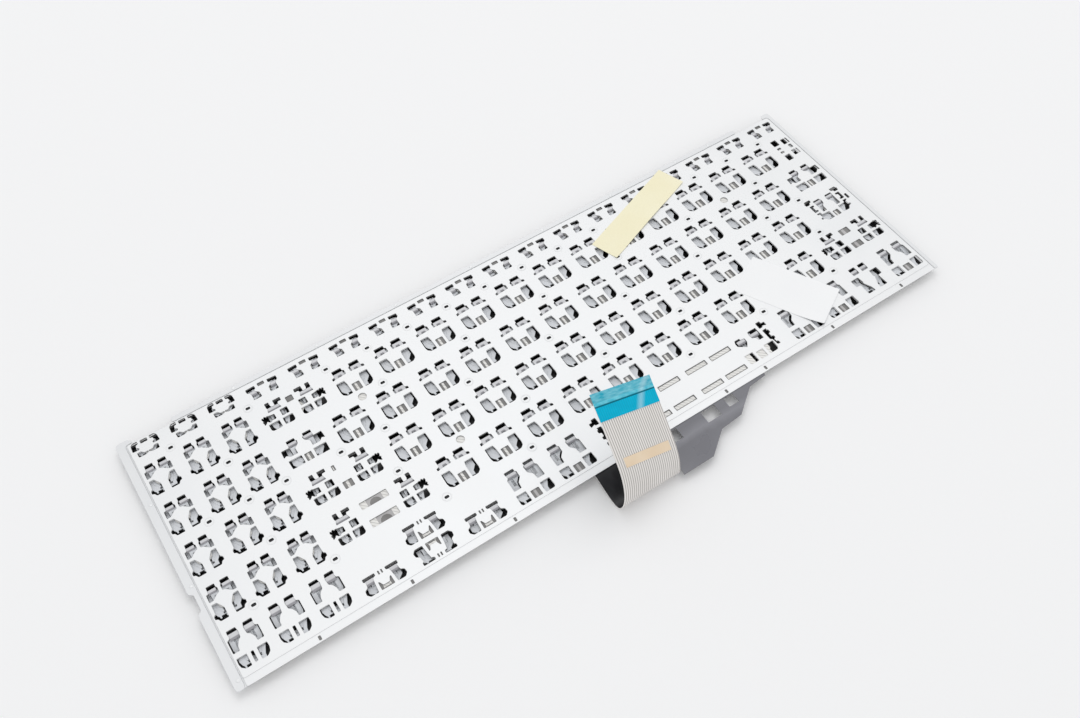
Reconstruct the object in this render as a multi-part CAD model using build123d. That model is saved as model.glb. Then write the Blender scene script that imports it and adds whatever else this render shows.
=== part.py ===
# Laptop replacement keyboard lying on its keys, with the back plate on top.
# Board x runs along the key rows, board y towards the function row, z up from the key faces.
import math
import os

from build123d import *

os.makedirs("parts", exist_ok=True)

# Key grid
PITCH = 19.05
KEY_GAP = 2.4
GRID_X = 0.15
ROW_1_Y = 6.6
LEFT_LINE = -37.9
RIGHT_LINE = 230.6
F_PITCH = 18.17
F_FIRST_X = -31.1
F_ROW_Y = 21.7
F_DEPTH = 9.2
PAD_PITCH = 15.55
PAD_FIRST_X = -79.2
PAD_SHIFT = 1.0
SPACE_WIDTH = 92.5
SPACE_X = 109.4
CONTROL_WIDTH = 16.1

# Stack, from the floor up
CAP_HEIGHT = 1.9
CAP_TOP = 0.8
SKIRT = 1.0
TRAVEL = 1.5
FILM_GAP = 3.6
FILM = 0.25
PLATE = 0.5

# Back plate and its stepped rim
PLATE_LEFT = -85.5
PLATE_RIGHT = 231.0
PLATE_REAR = 26.6
PLATE_FRONT = -82.0
RIM_LEFT = 4.0
RIM_RIGHT = 2.5
RIM_REAR = 2.9
RIM_STEP = 0.35
RIM_CORNER = 2.2
RIM_NOTCH = 1.6
NOTCH_SLOPE = 0.8
NOTCH_LOW = 32.0
NOTCH_HIGH = 40.5
CORNER_TAB = 2.5
TAB_SLOPE = 1.2
REAR_GAP = 16.0
SCREW_HOLE = 3.4

# Domes, scissor links and the space bar's wire
DOME_SIDES = 5
DOME_BASE = 3.1
DOME_TIP = 1.7
SEAT = 0.02
LINK = 0.9
OUTER_HALF = 5.9
OUTER_ARM = 1.3
OUTER_REACH = 5.4
INNER_HALF = 4.4
INNER_ARM = 1.1
INNER_REACH = 4.0
LINK_END = 0.45
WIRE = 0.8
WIRE_ARM = 9.0
WIRE_HALF = 37.0

# Papers on the plate
PAPER = 0.12
NOTE_SIZE = (53.6, 11.8)
NOTE_AT = (145.7, 12.4, 20.5)
LABEL_SIZE = (38.5, 20.6)
LABEL_AT = (171.6, -56.2, -61.1)

# Heights that follow from the stack
FILM_TOP = FILM_GAP + FILM
PLATE_TOP = FILM_TOP + PLATE
CAP = PITCH - KEY_GAP
LINK_Z = FILM_GAP - LINK / 2 - 0.15


def row_y(row):
    return ROW_1_Y - PITCH * (row - 1)


# Every key is name, x, y, width, depth and the kind of plate cut-outs above it.
ROWS = {
    1: (0.0, ["equals", "minus"] + [str(n) for n in (0, 9, 8, 7, 6, 5, 4, 3, 2, 1)], "backspace", "grave"),
    2: (-0.5, ["right_bracket", "left_bracket"] + list("poiuytrewq"), "backslash", "tab"),
    3: (0.25, ["quote", "semicolon"] + list("lkjhgfdsa"), "enter", "caps_lock"),
    4: (0.75, ["slash", "period", "comma"] + list("mnbvcxz"), "right_shift", "left_shift"),
}


def between(name, x0, x1, y, kind):
    return (name, (x0 + x1) / 2, y, x1 - x0, CAP, kind)


def main_keys():
    keys = []
    for row, (shift, names, left, right) in ROWS.items():
        y = row_y(row)
        first = GRID_X + shift * PITCH
        last = first + PITCH * (len(names) - 1)
        keys.append(between(left, LEFT_LINE, first - CAP / 2 - KEY_GAP, y, "wide"))
        for i, name in enumerate(names):
            keys.append((name, first + PITCH * i, y, CAP, CAP, "main"))
        kind = "turned" if right == "grave" else "wide"
        keys.append(between(right, last + CAP / 2 + KEY_GAP, RIGHT_LINE, y, kind))
    return keys


def bottom_keys():
    y = row_y(5)
    half = (CAP - 1.2) / 2
    upper = y + (CAP - half) / 2
    lower = y - (CAP - half) / 2
    end = SPACE_X - SPACE_WIDTH / 2 - KEY_GAP
    start = SPACE_X + SPACE_WIDTH / 2 + KEY_GAP
    keys = [("space", SPACE_X, y, SPACE_WIDTH, CAP, "space")]
    for i, name in enumerate(("right_control", "right_alt")):
        keys.append((name, end - CAP / 2 - PITCH * (1 - i), y, CAP, CAP, "bottom"))
    step = (RIGHT_LINE - CONTROL_WIDTH - start) / 3
    for i, name in enumerate(("alt", "system", "fn")):
        keys.append(between(name, start + step * i, start + step * (i + 1) - KEY_GAP, y, "bottom"))
    keys.append(between("control", RIGHT_LINE - CONTROL_WIDTH, RIGHT_LINE, y, "bottom"))
    arrow_x = LEFT_LINE + CAP / 2
    arrow_step = (end - CAP / 2 - PITCH - arrow_x) / 3
    places = (("arrow_right", 0, lower), ("arrow_up", 1, upper), ("arrow_down", 1, lower))
    places += (("arrow_left", 2, lower),)
    for name, step, y_at in places:
        keys.append((name, arrow_x + arrow_step * step, y_at, CAP, half, "arrow"))
    return keys


def function_keys():
    keys = []
    for i in range(15):
        x = F_FIRST_X + F_PITCH * i
        keys.append((f"function_{i}", x, F_ROW_Y, F_PITCH - KEY_GAP, F_DEPTH, "function"))
    for i in range(3):
        x = PAD_FIRST_X + PAD_PITCH * i
        keys.append((f"pad_top_{i}", x, F_ROW_Y + PAD_SHIFT, PAD_PITCH - KEY_GAP, F_DEPTH, "pad_function"))
    return keys


def pad_keys():
    keys = []
    for row in range(1, 6):
        kind = "pad_bottom" if row == 5 else "pad"
        y = row_y(row) + PAD_SHIFT
        for i in range(3):
            keys.append((f"pad_{row}_{i}", PAD_FIRST_X + PAD_PITCH * i, y, PAD_PITCH - KEY_GAP, CAP, kind))
    return keys


# Cut-outs are x0, x1, y0, y1 from the key's centre and are mirrored in x.
CUTS = {
    "main": ((1.2, 5.6, 2.8, 6.6), (2.6, 6.9, -6.6, 0.4)),
    "pad": ((1.0, 4.7, 1.5, 6.9), (1.5, 5.4, -7.1, 0.2)),
    "function": ((2.2, 5.6, -3.0, 2.8),),
    "pad_function": ((2.4, 5.5, -3.4, 3.4),),
    "bottom": ((1.9, 6.0, -0.3, 7.5), (3.3, 7.0, -7.0, -2.1)),
    "pad_bottom": ((1.0, 5.6, -0.9, 7.5), (2.0, 5.7, -7.4, -2.9)),
    "arrow": ((1.4, 6.0, -2.8, 2.8),),
}
# The end cut-outs of two wide keys stand further in than those of the rest.
END_INSET = {"tab": 1.0, "caps_lock": 3.2}
# The space bar's cut-outs run in shares of its half width.
SPACE_SLOTS = ((0.039, 0.255), (0.3, 0.517))
SPACE_ENDS = ((0.59, 0.688, 3.0, 6.0), (0.731, 0.826, 3.0, 6.0), (0.566, 0.653, -7.0, -2.8))
SPACE_ENDS += ((0.774, 0.869, -7.0, -2.8), (0.879, 0.952, -5.0, 6.8))


def box_points(x0, x1, y0, y1):
    return [(x0, y0), (x1, y0), (x1, y1), (x0, y1)]


def cuts_for(key):
    name, x, y, width, depth, kind = key
    boxes = []
    if kind in CUTS:
        boxes = list(CUTS[kind])
    elif kind == "turned":
        rows = ((-4.0, -1.0, 3.3, 6.8), (0.8, 4.0, 2.1, 5.5))
        return [box_points(x + a, x + b, y + s * c, y + s * d) for a, b, c, d in rows for s in (1, -1)]
    elif kind == "space":
        shares = [(a, b, c, d) for a, b in SPACE_SLOTS for c, d in ((3.3, 5.4), (-7.4, -5.0))]
        shares += SPACE_ENDS
        boxes = [(a * width / 2, b * width / 2, c, d) for a, b, c, d in shares]
    elif width > 29:
        slot = width / 2 - 14.9
        boxes = [(0.5, slot, 3.5, 6.4), (0.5, slot, -5.1, -1.8), (slot + 1.6, slot + 5.2, -5.1, 6.6)]
        boxes.append((width / 2 - 7.4, width / 2 - 3.2, -5.1, 6.6))
        boxes.append((width / 2 - 2.6, width / 2 - 0.7, -0.6, 2.6))
    else:
        boxes = [(1.7, 5.2, 3.2, 6.9), (2.4, 6.6, -5.2, -1.3)]
        if width > 19:
            end = width / 2 - END_INSET.get(name, 0.8)
            boxes.append((end - 2.1, end, -4.8, 4.4))
    return [box_points(x + s * a, x + s * b, y + c, y + d) for a, b, c, d in boxes for s in (1, -1)]


def sheet(points, holes, thickness, z):
    rim = Wire.make_polygon([Vector(px, py, z) for px, py in points])
    inner = [Wire.make_polygon([Vector(px, py, z) for px, py in hole]) for hole in holes]
    return Solid.extrude(Face(rim, inner), Vector(0, 0, thickness))


def block(x0, x1, y0, y1, z0, z1):
    return Pos((x0 + x1) / 2, (y0 + y1) / 2, (z0 + z1) / 2) * Box(x1 - x0, y1 - y0, z1 - z0)


def circle_points(x, y, diameter, sides=12):
    turn = [2 * math.pi * i / sides for i in range(sides)]
    return [(x + diameter / 2 * math.cos(a), y + diameter / 2 * math.sin(a)) for a in turn]


def corner_points(x, y, step_x, step_y):
    """Three points that round a corner, from its flat side to its upright one."""
    return [(x + step_x, y), (x + 0.3 * step_x, y + 0.3 * step_y), (x, y + step_y)]


def hollow_cap(key):
    name, x, y, width, depth, kind = key
    body = block(x - width / 2, x + width / 2, y - depth / 2, y + depth / 2, 0, CAP_HEIGHT)
    room_x = width / 2 - SKIRT
    room_y = depth / 2 - SKIRT
    inside = block(x - room_x, x + room_x, y - room_y, y + room_y, CAP_TOP, CAP_HEIGHT + 1)
    return body - inside


def solid_cap(key):
    name, x, y, width, depth, kind = key
    return block(x - width / 2, x + width / 2, y - depth / 2, y + depth / 2, 0, CAP_HEIGHT)


def face_of(*points):
    return Face(Wire.make_polygon([Vector(*p) for p in points]))


def dome(key, low):
    name, x, y, width, depth, kind = key
    tip = min(DOME_TIP, depth / 4)
    base = min(DOME_BASE, depth / 2 - 0.6)
    lower = [(px, py, low + SEAT) for px, py in circle_points(x, y, 2 * tip, DOME_SIDES)]
    upper = [(px, py, FILM_GAP - SEAT) for px, py in circle_points(x, y, 2 * base, DOME_SIDES)]
    faces = [face_of(*lower), face_of(*upper)]
    for i in range(DOME_SIDES):
        j = (i + 1) % DOME_SIDES
        faces.append(face_of(lower[i], lower[j], upper[j], upper[i]))
    return Solid(Shell(faces))


# A link is a flat ring, long between its two axes. The outer one stands high at its front end.
def link_ring(half, arm, reach):
    length = 2 * (reach + LINK_END)
    ring = Box(2 * half, length, LINK) - Box(2 * (half - arm), length - 2 * arm, LINK * 2)
    return ring


def scissor(key):
    name, x, y, width, depth, kind = key
    tilt = math.asin(TRAVEL / (2 * OUTER_REACH))
    centre_y = y - OUTER_REACH * (1 - math.cos(tilt))
    centre_z = LINK_Z - OUTER_REACH * math.sin(tilt)
    back_tilt = math.asin(TRAVEL / (2 * INNER_REACH))
    middle = Pos(x, centre_y, centre_z)
    outer = middle * Rot(-math.degrees(tilt), 0, 0) * link_ring(OUTER_HALF, OUTER_ARM, OUTER_REACH)
    inner = middle * Rot(math.degrees(back_tilt), 0, 0) * link_ring(INNER_HALF, INNER_ARM, INNER_REACH)
    return outer, inner


def space_wire(key):
    name, x, y, width, depth, kind = key
    tilt = math.asin(TRAVEL / WIRE_ARM)
    h = WIRE / 2
    bar = block(-WIRE_HALF - h, WIRE_HALF + h, -WIRE_ARM - h, -WIRE_ARM + h, -h, h)
    wire = bar
    for side in (1, -1):
        arm = block(side * WIRE_HALF - h, side * WIRE_HALF + h, -WIRE_ARM, h, -h, h)
        foot_x = sorted((side * (WIRE_HALF - h), side * (WIRE_HALF + 2.6)))
        wire = wire + arm + block(foot_x[0], foot_x[1], -h, h, -h, h)
    return Pos(x, y + WIRE_ARM / 2, LINK_Z) * Rot(math.degrees(tilt), 0, 0) * wire


# Ribbon: its two edges as (x, y, height over the plate), from the membrane out and up.
RIBBON_LEFT = [
    (55.5, -78.6, -0.875), (55.5, -82.4, -0.9), (55.5, -86.0, -1.9), (55.5, -90.0, -3.1), (55.5, -94.6, -3.8),
    (55.4, -97.6, -2.2), (55.4, -99.3, 2.2), (55.4, -99.8, 8.0), (55.4, -99.2, 13.5),
    (55.5, -97.5, 18.8), (55.6, -95.1, 23.2), (55.7, -91.9, 26.9), (55.9, -87.0, 32.0), (56.1, -81.6, 37.6),
]
RIBBON_RIGHT = [
    (83.0, -78.6, -0.875), (83.0, -82.4, -0.9), (82.9, -86.0, -1.9), (82.8, -90.0, -2.8), (82.6, -94.6, -3.4),
    (82.5, -97.2, -2.6), (82.4, -98.5, -0.8), (82.4, -98.4, 1.6), (82.4, -97.5, 4.6),
]
RUN_ACROSS = (27.0, 0.7, -11.4)
CONTACT_END = (56.3, -76.5, 42.4)
TAB_END = (56.4, -73.9, 45.0)


def across(point):
    return tuple(a + b for a, b in zip(point, RUN_ACROSS))


def lift(point):
    return Vector(point[0], point[1], point[2] + PLATE_TOP)


# A film strip through pairs of edge points, between two offsets from its middle surface.
def film_strip(left, right, low, high):
    left = [lift(p) for p in left]
    right = [lift(p) for p in right]
    rings = []
    last = len(left) - 1
    for i in range(last + 1):
        a = max(i - 1, 0)
        b = min(i + 1, last)
        along = (left[b] + right[b]) - (left[a] + right[a])
        normal = (right[i] - left[i]).cross(along).normalized()
        under = normal * low
        over = normal * high
        rings.append([left[i] + under, right[i] + under, right[i] + over, left[i] + over])
    faces = []

    def triangle(p, q, r):
        faces.append(Face(Wire.make_polygon([p, q, r])))

    for near, far in zip(rings, rings[1:]):
        for j in range(4):
            k = (j + 1) % 4
            triangle(near[j], near[k], far[k])
            triangle(near[j], far[k], far[j])
    for ring in (rings[0], rings[-1]):
        triangle(ring[0], ring[1], ring[2])
        triangle(ring[0], ring[2], ring[3])
    return Solid(Shell(faces))


def mix(p, q, t):
    return tuple(a + (b - a) * t for a, b in zip(p, q))


def save(name, solids):
    shape = solids[0] if len(solids) == 1 else Compound(children=list(solids))
    shape.label = name
    nodes[name] = shape


nodes = {}
keys = main_keys() + bottom_keys() + function_keys() + pad_keys()
by_name = {key[0]: key for key in keys}

# Back plate
holes = [hole for key in keys for hole in cuts_for(key)]
for x in (-58.0, -21.8, 21.0, 119.3, 139.2, 174.8, 213.0):
    holes.append(box_points(x - 0.4, x + 0.4, PLATE_FRONT + 0.6, PLATE_FRONT + 2.2))
SCREWS = ((-0.5, -3.6), (21.5, -41.2), (181.5, -2.4))
for x, y in SCREWS:
    holes.append(circle_points(x, y, SCREW_HOLE))
plate = sheet(box_points(PLATE_LEFT, PLATE_RIGHT, PLATE_FRONT, PLATE_REAR), holes, PLATE, FILM_TOP)
rim_z = (FILM_TOP - RIM_STEP, PLATE_TOP - RIM_STEP)
plate_x0 = PLATE_LEFT - RIM_LEFT
plate_x1 = PLATE_RIGHT + RIM_RIGHT
plate_y1 = PLATE_REAR + RIM_REAR
notch_x = plate_x0 + RIM_NOTCH
notch_y = (PLATE_FRONT + NOTCH_LOW, PLATE_FRONT + NOTCH_HIGH)
left_tab = PLATE_LEFT + CORNER_TAB
right_tab = PLATE_RIGHT - CORNER_TAB
left_rim = [(PLATE_LEFT, PLATE_FRONT), (PLATE_LEFT, PLATE_REAR)]
left_rim += [(left_tab, PLATE_REAR), (left_tab - TAB_SLOPE, plate_y1)]
left_rim += corner_points(plate_x0, plate_y1, RIM_CORNER, -RIM_CORNER)
left_rim += [(plate_x0, notch_y[1]), (notch_x, notch_y[1] - NOTCH_SLOPE)]
left_rim += [(notch_x, notch_y[0] + NOTCH_SLOPE), (plate_x0, notch_y[0])]
left_rim += reversed(corner_points(plate_x0, PLATE_FRONT, RIM_CORNER, RIM_CORNER))
right_rim = [(PLATE_RIGHT, PLATE_REAR), (PLATE_RIGHT, PLATE_FRONT)]
right_rim += corner_points(plate_x1, PLATE_FRONT, -RIM_CORNER, RIM_CORNER)
right_rim += reversed(corner_points(plate_x1, plate_y1, -RIM_CORNER, -RIM_CORNER))
right_rim += [(right_tab + TAB_SLOPE, plate_y1), (right_tab, PLATE_REAR)]
rear_rim = box_points(left_tab + REAR_GAP, right_tab - REAR_GAP, PLATE_REAR, plate_y1)
for rim in (left_rim, right_rim, rear_rim):
    plate = plate + sheet(rim, [], rim_z[1] - rim_z[0], rim_z[0])
save("base_plate", [plate])

# Membrane with its flap past the front edge
film_x = (PLATE_LEFT + 0.8, PLATE_RIGHT - 0.8)
film_y = (PLATE_FRONT + 0.5, PLATE_REAR - 0.8)
outline = [
    (film_x[0], film_y[1]), (film_x[0], film_y[0]), (70.0, film_y[0]), (70.0, -93.0), (83.4, -93.0),
    (83.4, -100.1), (97.3, -100.1), (107.4, -92.6), (117.6, -91.8), (128.5, -83.8), (137.0, -83.0),
    (137.2, film_y[0]), (film_x[1], film_y[0]), (film_x[1], film_y[1]),
]
flap_holes = [(89.6, 92.4, -87.0, -82.6), (105.0, 111.2, -87.0, -82.6), (116.4, 120.2, -86.0, -82.6)]
save("membrane", [sheet(outline, [box_points(*hole) for hole in flap_holes], FILM, FILM_GAP)])

# Ribbon cable, its stiffener film and its sticker
left = RIBBON_LEFT + [CONTACT_END]
right = RIBBON_RIGHT + [across(p) for p in RIBBON_LEFT[len(RIBBON_RIGHT):]] + [across(CONTACT_END)]
half_film = FILM / 2
save("ribbon_cable", [film_strip(left, right, -half_film, half_film)])
blue_left = [RIBBON_LEFT[-1], CONTACT_END, TAB_END]
blue_right = [across(p) for p in blue_left]
save("ribbon_stiffener", [film_strip(blue_left, blue_right, half_film + 0.02, half_film + 0.17)])
tag_low = mix(RIBBON_LEFT[10], RIBBON_LEFT[11], 0.12)
tag_high = mix(RIBBON_LEFT[10], RIBBON_LEFT[11], 0.92)
tag_left = [mix(p, across(p), 0.12) for p in (tag_low, tag_high)]
tag_right = [mix(p, across(p), 0.9) for p in (tag_low, tag_high)]
save("ribbon_sticker", [film_strip(tag_left, tag_right, half_film + 0.02, half_film + 0.1)])

# Papers
for name, size, place in (("yellow_note", NOTE_SIZE, NOTE_AT), ("white_label", LABEL_SIZE, LABEL_AT)):
    at = Pos(place[0], place[1], PLATE_TOP + PAPER / 2) * Rot(0, 0, place[2])
    save(name, [at * Box(size[0], size[1], PAPER)])

# Keys that move, each with its own node
LETTERS = list("qwertyuiopasdfghjklzxcvbnm")
WIDE = ["backspace", "backslash", "tab", "enter", "caps_lock", "right_shift", "left_shift", "space"]
moving = LETTERS + WIDE
for name in moving:
    save("key_" + name, [hollow_cap(by_name[name])])

# Keys past the file limit, grouped and fixed
GROUPS = {
    "function_keys": [key[0] for key in function_keys()],
    "pad_keys": [key[0] for key in pad_keys()],
    "number_keys": ROWS[1][1] + ["grave"],
    "punctuation_keys": ["right_bracket", "left_bracket", "quote", "semicolon", "slash", "period", "comma"],
    "modifier_keys": ["right_control", "right_alt", "alt", "system", "fn", "control"],
    "arrow_keys": ["arrow_right", "arrow_up", "arrow_down", "arrow_left"],
}
for group, names in GROUPS.items():
    save(group, [solid_cap(by_name[name]) for name in names])

# Domes under all keys, then the scissors of the middle home keys and the space bar's wire
save("rubber_domes", [dome(key, CAP_TOP if key[0] in moving else CAP_HEIGHT) for key in keys])
SCISSOR_KEYS = "dfghj"
for name in SCISSOR_KEYS:
    outer, inner = scissor(by_name[name])
    save(f"key_{name}_outer_link", [outer])
    save(f"key_{name}_inner_link", [inner])
save("space_wire", [space_wire(by_name["space"])])

# Centre the whole part over the origin and write one file per node.
boxes = [shape.bounding_box() for shape in nodes.values()]
mid_x = (min(b.min.X for b in boxes) + max(b.max.X for b in boxes)) / 2
mid_y = (min(b.min.Y for b in boxes) + max(b.max.Y for b in boxes)) / 2
for name, shape in nodes.items():
    export_step(shape.moved(Location((-mid_x, -mid_y, 0))), f"parts/{name}.step")
print("shift", round(-mid_x, 4), round(-mid_y, 4), "nodes", len(nodes))
for key in keys:
    sizes = (key[1] - mid_x, key[2] - mid_y, key[3], key[4])
    print("key", key[0], *(round(size, 4) for size in sizes), key[5])
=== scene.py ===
# Laptop keyboard lying on its keys: the looks of the back plate, the film, the ribbon and the keys.
import math

import bpy
from mathutils import Matrix, Vector


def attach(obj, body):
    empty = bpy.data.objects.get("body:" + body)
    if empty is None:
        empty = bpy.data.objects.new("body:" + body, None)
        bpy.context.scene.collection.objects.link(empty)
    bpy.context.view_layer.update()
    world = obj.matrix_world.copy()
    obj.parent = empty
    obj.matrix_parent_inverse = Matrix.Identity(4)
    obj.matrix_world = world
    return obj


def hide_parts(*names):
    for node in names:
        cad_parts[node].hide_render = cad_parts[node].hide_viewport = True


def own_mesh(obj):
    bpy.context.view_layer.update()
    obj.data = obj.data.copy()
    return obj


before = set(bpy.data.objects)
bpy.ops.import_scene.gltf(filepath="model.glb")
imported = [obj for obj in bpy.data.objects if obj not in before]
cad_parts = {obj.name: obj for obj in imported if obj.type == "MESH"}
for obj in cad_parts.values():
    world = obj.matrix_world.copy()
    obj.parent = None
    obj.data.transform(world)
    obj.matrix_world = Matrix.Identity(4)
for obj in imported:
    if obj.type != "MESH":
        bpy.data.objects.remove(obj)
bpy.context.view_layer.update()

# Sizes are in millimetres on the board, whose origin lies off the frame's by these two steps.
MM = 0.001
# Faces whose normal rises less than this are walls, found within this room round their ring.
UPRIGHT = 0.4
WALL_ROOM = 0.1
BOARD_X = -72.0
BOARD_Y = 35.3

# Key grid, as in the solids
PITCH = 19.05
KEY_GAP = 2.4
CAP = PITCH - KEY_GAP
GRID_X = 0.15
ROW_1_Y = 6.6
LEFT_LINE = -37.9
RIGHT_LINE = 230.6
F_PITCH = 18.17
F_FIRST_X = -31.1
F_ROW_Y = 21.7
F_DEPTH = 9.2
PAD_PITCH = 15.55
PAD_FIRST_X = -79.2
PAD_SHIFT = 1.0
SPACE_WIDTH = 92.5
SPACE_X = 109.4
CONTROL_WIDTH = 16.1

# Stack, from the floor up
CAP_HEIGHT = 1.9
CAP_TOP = 0.8
SKIRT = 1.0
FILM_LOW = 3.6
FILM_TOP = 3.85
PLATE_TOP = 4.35
LINK_Z = 3.0
TRAVEL = 1.5

# Back plate and its stepped rim
PLATE_LEFT = -85.5
PLATE_RIGHT = 231.0
PLATE_REAR = 26.6
PLATE_FRONT = -82.0
RIM_X0 = -89.5
RIM_X1 = 233.5
RIM_Y1 = 29.5
RIM_Z = (3.5, 4.0)
RIM_LAP = 0.3
GROOVE = 0.55
GROOVE_DEPTH = 0.25
RIM_CORNER = 2.2
NOTCH = (-50.0, -41.5)
NOTCH_DEPTH = 1.6
CORNER_TAB = 2.5
REAR_GAP = 16.0
FRONT_STRIP = -78.9
FRONT_STRIP_Z = (3.87, 4.2)
CUT_CORNER = 0.3
SPACE_END_X = 33.0
SPACE_END_RISE = 0.4
SPACE_LINK_RISE = 2.0
CONTROL_RISE = 0.9
FRONT_HALF = 1.2
FLAP_LINE = PLATE_FRONT + BOARD_Y + 0.6
# Distance of the painted sheen band on the flap from the flap's line
FLAP_SHEEN_BAND = 3.4
RIBBON_LINES = 28


def object_mode():
    if bpy.context.object and bpy.context.object.mode != "OBJECT":
        bpy.ops.object.mode_set(mode="OBJECT")


def only(piece):
    object_mode()
    bpy.ops.object.select_all(action="DESELECT")
    piece.select_set(True)
    bpy.context.view_layer.objects.active = piece


def apply_place(piece):
    only(piece)
    bpy.ops.object.transform_apply(location=True, rotation=True, scale=True)


def apply_modifiers(piece):
    only(piece)
    for modifier in list(piece.modifiers):
        bpy.ops.object.modifier_apply(modifier=modifier.name)


def pick(piece, kind, test):
    """Leaves edit mode on with only the faces or edges selected that pass the test."""
    only(piece)
    bpy.ops.object.mode_set(mode="EDIT")
    bpy.ops.mesh.select_mode(type=kind)
    bpy.ops.mesh.select_all(action="DESELECT")
    bpy.ops.object.mode_set(mode="OBJECT")
    points = piece.data.vertices
    if kind == "FACE":
        for face in piece.data.polygons:
            face.select = test(face.center, face.normal)
    else:
        for edge in piece.data.edges:
            edge.select = test(points[edge.vertices[0]].co, points[edge.vertices[1]].co)
    bpy.ops.object.mode_set(mode="EDIT")


def face_outwards():
    """Turns the faces of the mesh in edit mode outwards and leaves edit mode."""
    bpy.ops.mesh.select_all(action="SELECT")
    bpy.ops.mesh.normals_make_consistent(inside=False)
    object_mode()


def copy_at(blank, name, x, y):
    twin = blank.copy()
    twin.data = blank.data.copy()
    twin.name = name
    bpy.context.collection.objects.link(twin)
    twin.data.transform(Matrix.Translation((x * MM, y * MM, 0)))
    return twin


def joined(name, pieces):
    object_mode()
    bpy.ops.object.select_all(action="DESELECT")
    for piece in pieces:
        piece.select_set(True)
    bpy.context.view_layer.objects.active = pieces[0]
    if len(pieces) > 1:
        bpy.ops.object.join()
    pieces[0].name = name
    return pieces[0]


def finish_piece(piece, material, body, slot, *nodes):
    """Gives a finished mesh its material and its body, and hides the CAD nodes that it stands for."""
    if not piece.data.materials:
        piece.data.materials.append(material)
    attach(piece, body)
    if nodes:
        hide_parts(*nodes)
    return piece


def wall_finish(sheet, finish, limits=None):
    """Gives the upright faces of a cut sheet their own finish, all of them or those within limits; every
    finish given here is painted shade on the walls.
    """
    sheet.data.materials.append(finish)
    last = len(sheet.data.materials) - 1
    for face in sheet.data.polygons:
        if abs(face.normal.z) < UPRIGHT and (limits is None or within(face.center / MM, limits)):
            face.material_index = last


def within(point, limits):
    return any(x0 < point.x < x1 and y0 < point.y < y1 for x0, x1, y0, y1 in limits)


def stamped(name, outlines, low, high, edge=0.0):
    """A sheet cut from flat outlines, holes among them, in board millimetres."""
    curve = bpy.data.curves.new(name, "CURVE")
    curve.dimensions = "2D"
    curve.fill_mode = "BOTH"
    curve.extrude = (high - low) / 2 - edge
    curve.bevel_depth = edge
    curve.bevel_resolution = 0
    curve.offset = -edge
    for ring in outlines:
        spline = curve.splines.new("POLY")
        spline.points.add(len(ring) - 1)
        for point, (x, y) in zip(spline.points, ring):
            point.co = (x, y, 0, 1)
        spline.use_cyclic_u = True
    sheet = bpy.data.objects.new(name, curve)
    bpy.context.collection.objects.link(sheet)
    only(sheet)
    bpy.ops.object.convert(target="MESH")
    sheet = bpy.context.object
    bpy.ops.object.mode_set(mode="EDIT")
    bpy.ops.mesh.select_all(action="SELECT")
    bpy.ops.mesh.remove_doubles(threshold=0.002)
    face_outwards()
    sheet.scale = (MM, MM, MM)
    sheet.location = (0, 0, (low + high) / 2 * MM)
    apply_place(sheet)
    return sheet


def on_board(piece):
    """Moves a piece modelled in board millimetres into the frame."""
    piece.data.transform(Matrix.Translation((BOARD_X * MM, BOARD_Y * MM, 0)))
    return piece


# Outlines
def rect(x0, x1, y0, y1):
    return [(x0, y0), (x1, y0), (x1, y1), (x0, y1)]


def grown(ring, room):
    """Limits of a ring, grown by some room."""
    xs = [x for x, y in ring]
    ys = [y for x, y in ring]
    return min(xs) - room, max(xs) + room, min(ys) - room, max(ys) + room


def soft_corners(ring, radius):
    """Cuts every corner of a ring with three points, less where a side is short."""
    out = []
    count = len(ring)
    for i in range(count):
        before, here, after = Vector(ring[i - 1]), Vector(ring[i]), Vector(ring[(i + 1) % count])
        back = (before - here).normalized()
        on = (after - here).normalized()
        step = min(radius, 0.4 * (before - here).length, 0.4 * (after - here).length)
        first = here + back * step
        last = here + on * step
        middle = (first + last) / 2 * 0.45 + here * 0.55
        out += [tuple(first), tuple(middle), tuple(last)]
    return out


def both_sides(rings):
    return rings + [[(-x, y) for x, y in reversed(ring)] for ring in rings]


def moved(rings, x, y):
    return [[(px + x, py + y) for px, py in ring] for ring in rings]


def flipped(rings):
    return [[(x, -y) for x, y in reversed(ring)] for ring in rings]


# Cut-outs over each kind of key, for one side of its middle line; the other side mirrors them.
MAIN_HOOK = [
    (1.7, 6.6), (1.7, 5.3), (1.0, 5.0), (1.0, 2.9), (5.6, 2.6), (7.0, 2.3),
    (7.0, 3.4), (5.8, 3.7), (5.8, 6.6),
]
MAIN_WINDOW = [
    (3.3, 0.4), (2.9, -1.6), (2.8, -6.6), (5.3, -6.6), (6.6, -5.6), (6.9, -4.2), (6.8, 0.4),
]
PAD_HOOK = [
    (1.0, 7.1), (1.0, 5.7), (0.6, 5.2), (0.6, 3.2), (1.6, 2.9), (3.6, 1.2), (5.1, 1.1),
    (5.1, 4.3), (4.2, 4.4), (4.1, 7.1),
]
PAD_WINDOW = [
    (3.1, 0.0), (1.4, -2.8), (1.4, -7.0), (4.4, -7.0), (5.0, -5.9), (5.9, -5.6),
    (5.9, -4.3), (5.1, -3.6), (5.0, 0.1),
]
FUNCTION_HOOK = [
    (2.7, 2.9), (2.7, 1.4), (3.4, 1.0), (3.3, 0.3), (2.0, -0.8), (1.9, -3.3), (5.3, -3.3), (5.2, -0.7),
    (5.5, 0.3), (6.5, 1.0), (6.5, 2.7),
]
PAD_F_HOOK = [
    (2.4, 3.7), (2.4, 2.4), (3.4, 2.2), (3.6, 1.0), (2.6, 0.4), (2.9, -0.3),
    (5.4, -0.2), (5.2, 2.7), (4.3, 3.7),
]
PAD_F_FOOT = [(2.6, -1.2), (1.6, -2.3), (0.07, -2.2), (0.07, -2.95), (1.2, -3.4), (4.1, -3.4), (4.2, -1.2)]
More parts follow.
